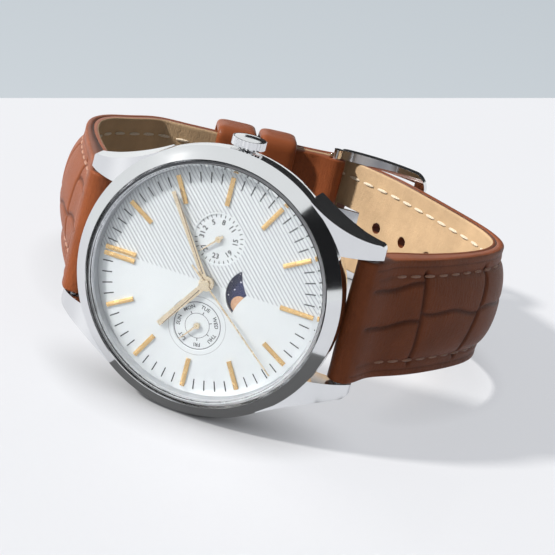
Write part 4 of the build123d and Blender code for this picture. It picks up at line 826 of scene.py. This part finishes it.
class Route:
    """outer face of one strap half in its side view, by length from its spring bar"""

    def __init__(self, side, share_points, seam_points, last_tangent, end):
        self.side = side
        self.sign = -side
        start = turned_point(LUG_ROLL, LUG_START_ANGLE, LUG_BAR_Y, LUG_BAR_Z) * (self.sign, 1)
        leave = turned_point(1, LUG_START_ANGLE - 90, 0, 0) * (self.sign, 1)
        middle = [(y * LOOP_HALF_WIDTH, -z * LOOP_DEPTH) for y, z in share_points]
        bend = smooth_line([start, *middle, *seam_points], leave, last_tangent)
        run = np.linspace(bend[-1], end, 60)[1:]
        self.points = np.vstack([bend, run])
        steps = np.linalg.norm(np.diff(self.points, axis=0), axis=1)
        self.lengths = np.concatenate([[0], np.cumsum(steps)])
        self.length = float(self.lengths[-1])
        tangents = np.gradient(self.points, self.lengths, axis=0)
        self.tangents = tangents / np.linalg.norm(tangents, axis=1)[:, None]

    def at(self, along):
        """places and outward directions at lengths, round the spring bar before zero"""
        along = np.asarray(along, float)
        place, tangent = (
            np.stack([np.interp(along, self.lengths, known[:, axis]) for axis in (0, 1)], -1)
            for known in (self.points, self.tangents)
        )
        beyond = np.clip(along - self.length, 0, None)[..., None]
        place = place + beyond * tangent
        out = np.stack([self.side * tangent[..., 1], -self.side * tangent[..., 0]], -1)
        out = out / np.linalg.norm(out, axis=-1)[..., None]
        turn = np.radians(LUG_START_ANGLE) + np.clip(-along, 0, None) / LUG_ROLL
        radial = np.stack([self.sign * np.cos(turn), np.sin(turn)], -1)
        bar = np.array((self.sign * LUG_BAR_Y, LUG_BAR_Z))
        wrapped = (along < 0)[..., None]
        return np.where(wrapped, bar + LUG_ROLL * radial, place), np.where(wrapped, radial, out)

    def length_at(self, y):
        """length along the lower half of the route at which it crosses a place y"""
        half = len(self.lengths) // 2
        return float(np.interp(y, self.points[half:, 0], self.lengths[half:]))


LONG = Route(1, LONG_POINT_SHARES, [seam_point(LONG_SEAM_START, LONG_OUTER)], SEAM,
             seam_point(TAIL_LENGTH, LONG_OUTER))
SHORT = Route(-1, SHORT_POINT_SHARES,
              [seam_point(SHORT_SEAM_START * 1.2, 0), seam_point(SHORT_SEAM_START, 0)],
              -SEAM, seam_point(0, 0))
SHORT_FOLD = SHORT.length - FOLD_LENGTH


# Strap faces

def ease(share):
    """from 0 to 1 with soft ends"""
    share = np.clip(share, 0, 1)
    return share * share * (3 - 2 * share)


def edge_thickness(along):
    """thickness at the strap's edges: full at the lug, then plain"""
    return 2 * LUG_ROLL + (STRAP_THICKNESS - 2 * LUG_ROLL) * ease(along / EDGE_EASE)


def half_width(route, along):
    """half the strap's width, narrowing from the lug to the buckle"""
    share = np.clip(along / (route.length - FOLD_LENGTH), 0, 1)
    half = HALF_AT_LUG + (HALF_AT_END - HALF_AT_LUG) * share
    if route is LONG:
        half = half - np.clip(along - (route.length - TAIL_CORNER), 0, TAIL_CORNER)
    return half


def pad_height(along):
    """how far the padded middle stands out from the edges"""
    return FLAT_CROWN + PAD_HEIGHT * np.sin(np.pi * np.clip(along / PAD_LENGTH, 0, 1)) ** 2


def scale_lines(along, across, seed, bowed):
    """distance to the nearest embossed line between scales, which lie in staggered rows"""
    random = np.random.default_rng(seed)
    nearest = np.full(along.shape, FAR)
    if bowed:
        nearest = np.abs(along - BOW_START - BOW_RISE * (across - BOW_SIDE) ** 2) * 0.8
    places = FIRST_SCALE + SCALE_PITCH * (np.arange(SCALE_ROWS) - 2)
    starts = places + random.uniform(-ROW_SHIFT, ROW_SHIFT, SCALE_ROWS)
    sways = random.uniform(-ROW_SWAY, ROW_SWAY, (SCALE_ROWS, 3))
    splits = random.uniform(-SPLIT_SHIFT, SPLIT_SHIFT, SCALE_ROWS)
    tilts = random.uniform(-SPLIT_TILT, SPLIT_TILT, SCALE_ROWS)

    def cross_line(row):
        bend, lean, phase = sways[row]
        return starts[row] + bend * 0.8 * np.cos(across / 4.5 + phase) + lean * 0.1 * across

    for row in range(SCALE_ROWS):
        nearest = np.minimum(nearest, np.abs(along - cross_line(row)))
    for row in range(SCALE_ROWS - 1):
        low, high = cross_line(row), cross_line(row + 1)
        within = (along > low) & (along < high)
        middle = splits[row] + tilts[row] * (along - low) + 0.35 * np.sin(along / 1.7 + row)
        lines = [middle]
        if row % 3 == 1:
            lines.append(middle + SECOND_SPLIT * (1 if splits[row] < 0 else -1))
        for line in lines:
            nearest = np.minimum(nearest, np.where(within, np.abs(across - line), FAR))
    return nearest


def bell(gap, width):
    """one at a line, falling to nothing beside it"""
    return np.exp(-((gap / width) ** 2))


def edge_drop(distance):
    """how far a rounded edge falls at a distance from the side"""
    near = np.clip(EDGE_ROUND - distance, 0, EDGE_ROUND)
    return EDGE_ROUND - np.sqrt(EDGE_ROUND**2 - near**2)


def leather_top(seed, embossed_to, bowed=False):
    """outer face: flat margins, padded middle, embossed scales, needle groove"""
    def face(along, across, half):
        stitch = half - STITCH_INSET
        side = np.abs(across)
        dome = pad_height(along) * (1 - np.clip(side / stitch, 0, 1) ** 2.4) ** 0.75
        gap = scale_lines(along, across, seed, bowed)
        margin = ease((stitch + 1.4 - side) / 0.9)
        reach = ease(along / 1.5) * ease((embossed_to - along) / 2) * margin
        line = bell(gap, SCALE_WIDTH) * reach
        pillow = PILLOW_HEIGHT * (1 - np.exp(-gap / PILLOW_REACH)) * reach
        needle = NEEDLE_DEPTH * bell(side - stitch, NEEDLE_WIDTH) * (along > 1)
        edge = half - side
        rule = EDGE_LINE_DEPTH * bell(edge - EDGE_LINE_INSET, EDGE_LINE_WIDTH) * (along > 0)
        height = dome + pillow - SCALE_DEPTH * line - needle - rule - edge_drop(edge)
        # mark of the pressed lines (scales, needle groove, edge line), darkened in the leather: partly own tone,
        # partly painted shade
        return height, np.clip(line * 0.75 + needle * 3 + rule * 5, 0, 1)
    return face


def long_bottom(along, across, half):
    """underside of the outer leather, open round the spring bar"""
    wall = LUG_ROLL - BAR_TUBE
    return -(wall + (edge_thickness(along) - LINING_THICKNESS - wall) * ease((along - 0.8) / 1.8))


def short_bottom(along, across, half):
    """underside of the short strap: outer leather, then the fold and its round end"""
    swell = 2 * BUCKLE_ROLL - STRAP_THICKNESS
    folded = -(STRAP_THICKNESS + swell * ease((along - (SHORT.length - 4)) / 4))
    return np.where(along > SHORT_FOLD, folded, long_bottom(along, across, half))


def lining_top(along, across, half):
    """side of the lining that is glued to the outer leather"""
    return LINING_THICKNESS - edge_thickness(along) - 0.002, np.zeros(along.shape)


def lining_bottom(along, across, half):
    """inner side of the lining, with soft edges and wrinkles"""
    edge = half - np.abs(across)
    wave = 0.05 * np.sin(along * 1.9 + 0.6 * np.sin(across * 0.8)) * np.sin(across * 0.5 + along * 0.2)
    return -(edge_thickness(along) - edge_drop(edge) * 0.8 + wave * ease(edge / 2))


def round_end(top, bottom):
    """closes a strap's faces over a half round end"""
    def fall(along):
        past = np.clip(along - SHORT.length, 0, BUCKLE_ROLL)
        return BUCKLE_ROLL - np.sqrt(BUCKLE_ROLL**2 - past**2)

    def closed_top(along, across, half):
        height, mark = top(along, across, half)
        return height - fall(along), mark

    def closed_bottom(along, across, half):
        return bottom(along, across, half) + fall(along)

    return closed_top, closed_bottom


# Strap pieces

def cross_columns():
    """places across as shares of the half width, denser at the edges and the stitch lines"""
    inner = HALF_AT_LUG - EDGE_LINE_INSET - 0.6
    middle = np.linspace(-inner, inner, int(2 * inner / ACROSS_STEP))
    rim = HALF_AT_LUG - np.array(RIM_PLACES)
    return np.unique(np.concatenate([-rim, middle, rim])) / HALF_AT_LUG


def ribbon(name, route, lengths, top, bottom, leather):
    """closed strip along a route, with painted edges"""
    along, share = np.meshgrid(lengths, cross_columns(), indexing="ij")
    half = half_width(route, along)
    across = share * half
    place, out = route.at(along)
    high, crease = top(along, across, half)
    low = bottom(along, across, half)

    def layer(depth):
        flat = place + out * depth[..., None]
        return np.stack([across, flat[..., 0], flat[..., 1]], -1).reshape(-1, 3)

    verts = np.vstack([layer(high), layer(low)])
    under = along.size
    index = np.arange(under).reshape(along.shape)
    quads = np.stack([index[:-1, :-1], index[1:, :-1], index[1:, 1:], index[:-1, 1:]], -1).reshape(-1, 4)
    turned = route.side < 0
    upper = quads if turned else quads[:, ::-1]
    lower = (quads[:, ::-1] if turned else quads) + under
    walls = []
    for line in (index[:, 0], index[::-1, -1], index[0, ::-1], index[-1, :]):
        walls.append(np.stack([line[:-1], line[:-1] + under, line[1:] + under, line[1:]], -1))
    walls = np.vstack(walls)
    if turned:
        walls = walls[:, ::-1]
    faces = np.vstack([upper, lower, walls])
    mesh = new_mesh(name, verts.tolist(), faces.tolist(), leather, EDGE_PAINT)
    mesh.polygons.foreach_set("use_smooth", [True] * len(faces))
    mesh.polygons.foreach_set("material_index", [0] * (len(faces) - len(walls)) + [1] * len(walls))
    uvs = np.tile(np.stack([along.ravel(), across.ravel()], -1), (2, 1))
    loops = np.zeros(len(mesh.loops), np.int32)
    mesh.loops.foreach_get("vertex_index", loops)
    mesh.uv_layers.new(name="strap").data.foreach_set("uv", uvs[loops].astype(np.float32).ravel())
    # the pressed-line mark, which the leather darkens: partly own tone, partly painted shade
    marks = np.concatenate([crease.ravel(), np.zeros(under)]).astype(np.float32)
    mesh.attributes.new("crease", "FLOAT", "POINT").data.foreach_set("value", marks)
    return faced_outwards(mesh)


def cylinder_mesh(radius, length, centre, direction, steps=20):
    """closed cylinder used to cut a hole"""
    work = bmesh.new()
    bmesh.ops.create_cone(work, cap_ends=True, segments=steps, radius1=radius, radius2=radius, depth=length)
    mesh = bpy.data.meshes.new("cutter")
    work.to_mesh(mesh)
    work.free()
    turn = Vector(direction).to_track_quat("Z", "X").to_matrix().to_4x4()
    mesh.transform(Matrix.Translation(centre) @ turn)
    return mesh


def slot_cutter(centre, along, out, front):
    """closed box across the strap in which the tongue turns, from one side view outline"""
    profile = [centre + a * along + b * out for a, b in ((-1, -1), (front, -1), (front, 1), (-1, 1))]
    verts = [(side, *corner) for side in (-TONGUE_HALF_ROOM, TONGUE_HALF_ROOM) for corner in profile]
    faces = [(3, 2, 1, 0), (4, 5, 6, 7), (0, 1, 5, 4), (1, 2, 6, 5), (2, 3, 7, 6), (3, 0, 4, 7)]
    return faced_outwards(new_mesh("cutter", verts, faces))


def long_cutters():
    """buckle holes of the long strap, the one in use stretched for the tongue"""
    tongue_at = LONG.length_at(PIVOT_Y - TONGUE_HOLE)
    cutters = []
    for number in range(-HOLES_BEFORE, HOLES_AFTER + 1):
        if number:
            place, out = LONG.at(np.array(tongue_at + number * HOLE_PITCH))
            cutters.append(cylinder_mesh(HOLE_RADIUS, 4 * STRAP_THICKNESS, (0, *place), (0, *out)))
    place, out = LONG.at(np.array(tongue_at))
    tangent = np.array((-out[1], out[0]))
    centre = place - out * STRAP_THICKNESS / 2
    cutters.append(slot_cutter(centre, TONGUE_SLOT * tangent, STRAP_THICKNESS * 1.6 * out, 1))
    return cutters


def short_cutters():
    """notch in the short strap's end in which the tongue turns"""
    return [slot_cutter(PIVOT, END_SLOT * SEAM, END_SLOT_DEPTH * SEAM_OUT, END_SLOT_FRONT)]


def cut(mesh, cutters):
    """mesh with cutters taken out, their walls painted"""
    for cutter in cutters:
        cutter.materials.append(EDGE_PAINT)
    body = linked(bpy.data.objects.new("cut_body", mesh))
    tool = linked(bpy.data.objects.new("cut_tool", joined(cutters, "cut_tool")))
    modifier = body.modifiers.new("cut", "BOOLEAN")
    modifier.operation = "DIFFERENCE"
    modifier.solver = "EXACT"
    modifier.object = tool
    modifier.material_mode = "TRANSFER"
    result = realised(body)
    bpy.data.objects.remove(tool)
    return result


def sewn_row(route, end, side, thread, radius, inner):
    """one row of stitches along a strap face"""
    lengths = np.arange(STITCH_START, end, 0.6)
    across = side * (half_width(route, lengths) - STITCH_INSET)
    place, out = route.at(lengths)
    depth = edge_thickness(lengths) + INNER_SINK if inner else np.full(lengths.shape, OUTER_SINK)
    level = place - out * depth[:, None]
    curve = bpy.data.curves.new("row", "CURVE")
    curve.dimensions = "3D"
    line = curve.splines.new("POLY")
    line.points.add(len(lengths) - 1)
    for point, x, (y, z) in zip(line.points, across, level):
        point.co = (x, y, z, 1)
    carrier = linked(bpy.data.objects.new("row", curve))
    with_tree(carrier, STITCHES, Pitch=STITCH_PITCH, Length=STITCH_LENGTH, Radius=radius, Material=thread)
    return realised(carrier)


def make_strap(name, route, ends, faces, cutters, lining_end, sewn_to):
    """one half of the strap: leather, lining and their sewing"""
    wrap = np.linspace(-math.pi * LUG_ROLL, 0, 16, endpoint=False)
    lengths = np.concatenate([wrap, np.arange(0, route.length, ALONG_STEP), ends])
    leather = cut(ribbon(f"{name}_leather", route, lengths, *faces, materials["leather_cognac"]), cutters())
    lengths = np.concatenate([np.arange(LINING_START, lining_end, LINING_STEP), [lining_end]])
    lining = ribbon(f"{name}_suede", route, lengths, lining_top, lining_bottom, materials["leather_tan"])
    if route is LONG:
        lining = cut(lining, cutters())
    make_piece(f"{name}_leather", leather, "case", "leather_cognac", f"strap_{name}_upper")
    make_piece(f"{name}_suede", lining, "case", "leather_tan", f"strap_{name}_lining")
    for face, end, thread, radius, slot in (
        ("outer", sewn_to, THREAD_COGNAC, THREAD_RADIUS, "leather_cognac"),
        ("inner", min(sewn_to, lining_end - 1), THREAD_CREAM, INNER_THREAD_RADIUS, "leather_tan"),
    ):
        rows = [sewn_row(route, end, side, thread, radius, face == "inner") for side in (1, -1)]
        title = f"{name}_{face}_stitches"
        make_piece(title, joined(rows, title), "case", slot)


def make_straps():
    """both halves of the strap"""
    end = LONG.length
    long_faces = leather_top(5, end - 3), long_bottom
    make_strap("long", LONG, [end], long_faces, long_cutters, end, end - TAIL_CORNER - 1)
    short_faces = round_end(leather_top(11, SHORT_FOLD, bowed=True), short_bottom)
    ends = SHORT.length + BUCKLE_ROLL * np.sin(np.linspace(0, math.pi / 2 * 0.97, 10))
    make_strap("short", SHORT, ends, short_faces, short_cutters, SHORT_FOLD, SHORT.length - 6)


# Keepers

def keeper_rings(half_x, half_out):
    """places round a keeper's rounded inner outline, each with its normal"""
    corner = KEEPER_CORNER - KEEPER_THICKNESS / 2
    path = []
    for sign_x, sign_out, first in ((1, 1, 0), (-1, 1, 90), (-1, -1, 180), (1, -1, 270)):
        for step in range(CORNER_STEPS + 1):
            angle = math.radians(first + 90 * step / CORNER_STEPS)
            normal = np.array((math.cos(angle), math.sin(angle)))
            middle = np.array((sign_x * (half_x - corner), sign_out * (half_out - corner)))
            path.append((middle + corner * normal, normal))
    rings = []
    for first, second in zip(path, path[1:] + path[:1]):
        rings.append(first)
        count = int(np.linalg.norm(second[0] - first[0]) / KEEPER_STEP)
        for step in range(1, count):
            rings.append((first[0] + (second[0] - first[0]) * step / count, first[1]))
    return rings


def keeper_section(width):
    """a keeper's cross section: rounded shoulders outside, a flat face inside"""
    section = []
    for step in range(SECTION_STEPS + 1):
        angle = math.pi * step / SECTION_STEPS
        wide = math.copysign(abs(math.cos(angle)) ** 0.42, math.cos(angle))
        tall = abs(math.sin(angle)) ** 0.5
        section.append((wide * width / 2, KEEPER_LIP + tall * (KEEPER_THICKNESS - KEEPER_LIP)))
    half, inset = width / 2, width / 2 - 0.15
    return section + [(-half, KEEPER_LIP / 2), (-inset, 0), (inset, 0), (half, KEEPER_LIP / 2)]


def make_keeper(name, place, width, body, node):
    """leather loop round both strap layers"""
    depth = 2 * STRAP_THICKNESS + SEAM_GAP
    rings = keeper_rings(HALF_AT_END + KEEPER_CLEARANCE, depth / 2 + KEEPER_CLEARANCE)
    section = keeper_section(width)
    centre = seam_point(place, LONG_OUTER - depth / 2)
    verts = []
    for (x, out), normal in rings:
        for along, lift in section:
            side = centre + SEAM_OUT * (out + normal[1] * lift) + SEAM * along
            verts.append((x + normal[0] * lift, side[0], side[1]))
    count = len(section)
    faces = []
    for ring in range(len(rings)):
        here, after = ring * count, (ring + 1) % len(rings) * count
        for spot in range(count):
            other = (spot + 1) % count
            faces.append((here + spot, here + other, after + other, after + spot))
    mesh = new_mesh(name, verts, faces, KEEPER_LEATHER)
    layer = mesh.uv_layers.new(name="strap")
    for polygon in mesh.polygons:
        polygon.use_smooth = True
        for loop in polygon.loop_indices:
            corner = mesh.loops[loop].vertex_index
            layer.data[loop].uv = (corner // count * 0.9, corner % count * 0.3)
    make_piece(name, faced_outwards(mesh), body, "leather_cognac", node)


# The solids that stay

def finish_solids():
    """material of its slot, smooth shading and soft edges for each solid"""
    slots = {part["node"]: part["material_slot"] for part in frame["record"]["subparts"]}
    for name, solid in frame["nodes"].items():
        solid.data.materials.clear()
        solid.data.materials.append(OWN_FINISHES.get(name, materials[slots[name]]))
        with_tree(solid, SOFTEN, Angle=SMOOTH_ANGLE)
        if name in BEVELS:
            bevel = solid.modifiers.new("soft_edges", "BEVEL")
            bevel.width = BEVELS[name] * MM
            bevel.segments = 3
            bevel.limit_method = "ANGLE"
            bevel.angle_limit = BEVEL_ANGLE
            bevel.harden_normals = True
            bevel.use_clamp_overlap = True


# Stage, light and camera

def aimed(made, place, direction, axis):
    """object in the scene at a place, one of its axes along a direction"""
    linked(made)
    made.location = place
    made.rotation_mode = "QUATERNION"
    made.rotation_quaternion = Vector(direction).to_track_quat(axis, "Y")
    return made


def make_camera():
    """camera at the photograph's place"""
    data = bpy.data.cameras.new("camera")
    data.lens = CAMERA_LENS
    data.sensor_width = SENSOR
    data.clip_start, data.clip_end = 0.01, 50
    aim = Vector(CAMERA_TARGET) - Vector(CAMERA_PLACE)
    camera = aimed(bpy.data.objects.new("camera", data), CAMERA_PLACE, aim, "-Z")
    camera.rotation_quaternion = camera.rotation_quaternion @ Quaternion((0, 0, 1), math.radians(CAMERA_ROLL))
    bpy.context.scene.camera = camera
    return camera


def floor_point(camera, column, row):
    """point on the floor seen at a pixel of the photograph"""
    middle = PICTURE / 2
    scale = SENSOR / CAMERA_LENS / PICTURE
    ray = Vector(((column - middle) * scale, (middle - row) * scale, -1))
    ray.rotate(camera.rotation_quaternion)
    return camera.location + ray * (-camera.location.z / ray.z)


def floor_material():
    """pale table: part of what is seen is its own glow, darkened close to the watch as a painted contact shadow"""
    material, tree, shader = new_material("pale_table", Roughness=0.6, Specular_IOR_Level=0.25)
    source = add_node(tree, "ShaderNodeTexCoord")
    patch = blotches(tree, source.outputs["Object"], 3.0, 0.4)
    feed(tree, shader, Base_Color=mixed(tree, patch, FLOOR_COLOUR, shaded(FLOOR_COLOUR, 0.97)))
    # painted contact shadow: the glow falls off near the watch
    painted_contact_shadow = add_node(tree, "ShaderNodeAmbientOcclusion", Distance=PAINTED_SHADOW_REACH, Color=(*FLOOR_GLOW, 1.0))
    glow = add_node(tree, "ShaderNodeEmission", Strength=1.0, Color=painted_contact_shadow.outputs["Color"])
    path = add_node(tree, "ShaderNodeLightPath").outputs
    seen = maths(tree, "ADD", path["Is Camera Ray"], path["Is Glossy Ray"])
    seen = maths(tree, "ADD", seen, path["Is Transmission Ray"])
    show_blend(tree, maths(tree, "MULTIPLY", seen, FLOOR_GLOW_SHARE), shader, glow)
    return material


def make_floor(camera):
    """pale table that ends behind the watch"""
    left = floor_point(camera, 0, TABLE_EDGE_ROW)
    right = floor_point(camera, PICTURE, TABLE_EDGE_ROW)
    along = (right - left).normalized() * FLOOR_HALF_WIDTH
    back = Vector((-along.y, along.x, 0)) * FLOOR_DEPTH / FLOOR_HALF_WIDTH
    middle = (left + right) / 2
    corners = [middle - along, middle + along, middle + along - back, middle - along - back]
    mesh = new_mesh("floor", [tuple(corner) for corner in corners], [(0, 3, 2, 1)], floor_material())
    floor = linked(bpy.data.objects.new("floor", mesh))


def make_card(name, centre, facing, width, height, colour):
    """matt card beside the watch that only reflections show"""
    x, y = width / 2, height / 2
    material = new_material(name, Roughness=0.9, Base_Color=(*colour, 1))[0]
    mesh = new_mesh(name, [(-x, -y, 0), (x, -y, 0), (x, y, 0), (-x, y, 0)], [(0, 1, 2, 3)], material)
    card = aimed(bpy.data.objects.new(name, mesh), centre, Vector(facing) - Vector(centre), "Z")
    card.visible_camera = False
    card.visible_diffuse = False
    card.visible_transmission = False
    card.visible_shadow = False


def make_light():
    """low sun from the left, soft surroundings and dark cards for the reflections, the one below a painted floor
    shadow
    """
    sun = bpy.data.lights.new("window", "SUN")
    sun.energy = SUN_STRENGTH
    sun.angle = math.radians(SUN_WIDTH)
    sun.color = SUN_COLOUR
    aimed(bpy.data.objects.new("window", sun), (0, 0, 0), SUN_FROM, "Z")
    for card in CARDS:
        make_card(*card)
    world = bpy.data.worlds.new("studio")
    bpy.context.scene.world = world
    world.use_nodes = True
    tree = world.node_tree
    path = add_node(tree, "ShaderNodeLightPath").outputs
    source = add_node(tree, "ShaderNodeTexCoord")
    split = add_node(tree, "ShaderNodeSeparateXYZ", source.outputs["Generated"])
    rise = add_node(tree, "ShaderNodeMapRange", Value=split.outputs["Z"], From_Min=-0.4, From_Max=-0.3)
    fade = add_node(tree, "ShaderNodeMapRange", Value=split.outputs["X"], From_Min=-1.0,
                    To_Min=SKY_LEFT * SKY_STRENGTH, To_Max=SKY_RIGHT * SKY_STRENGTH)
    soft = add_node(tree, "ShaderNodeBackground", Color=SKY_COLOUR, Strength=fade.outputs["Result"])
    mirrored = add_node(tree, "ShaderNodeBackground", Color=MIRRORED_COLOUR, Strength=1.0)
    wall_colour = mixed(tree, rise.outputs["Result"], WALL_LOW, WALL_HIGH)
    wall = add_node(tree, "ShaderNodeBackground", Color=wall_colour, Strength=1.0)
    room = add_node(tree, "ShaderNodeMixShader", path["Is Glossy Ray"], soft.outputs[0], mirrored.outputs[0])
    show_blend(tree, path["Is Camera Ray"], room, wall, "World")


finish_solids()
make_printing()
make_hand_line("hour_hand")
make_hand_line("minute_hand")
make_stars()
make_straps()
make_keeper("fixed_loop", *FIXED_KEEPER, "case", "fixed_keeper")
make_keeper("free_loop", *FREE_KEEPER, "free_keeper", "free_keeper")
make_floor(make_camera())
make_light()
bpy.context.scene.view_settings.view_transform = "Standard"
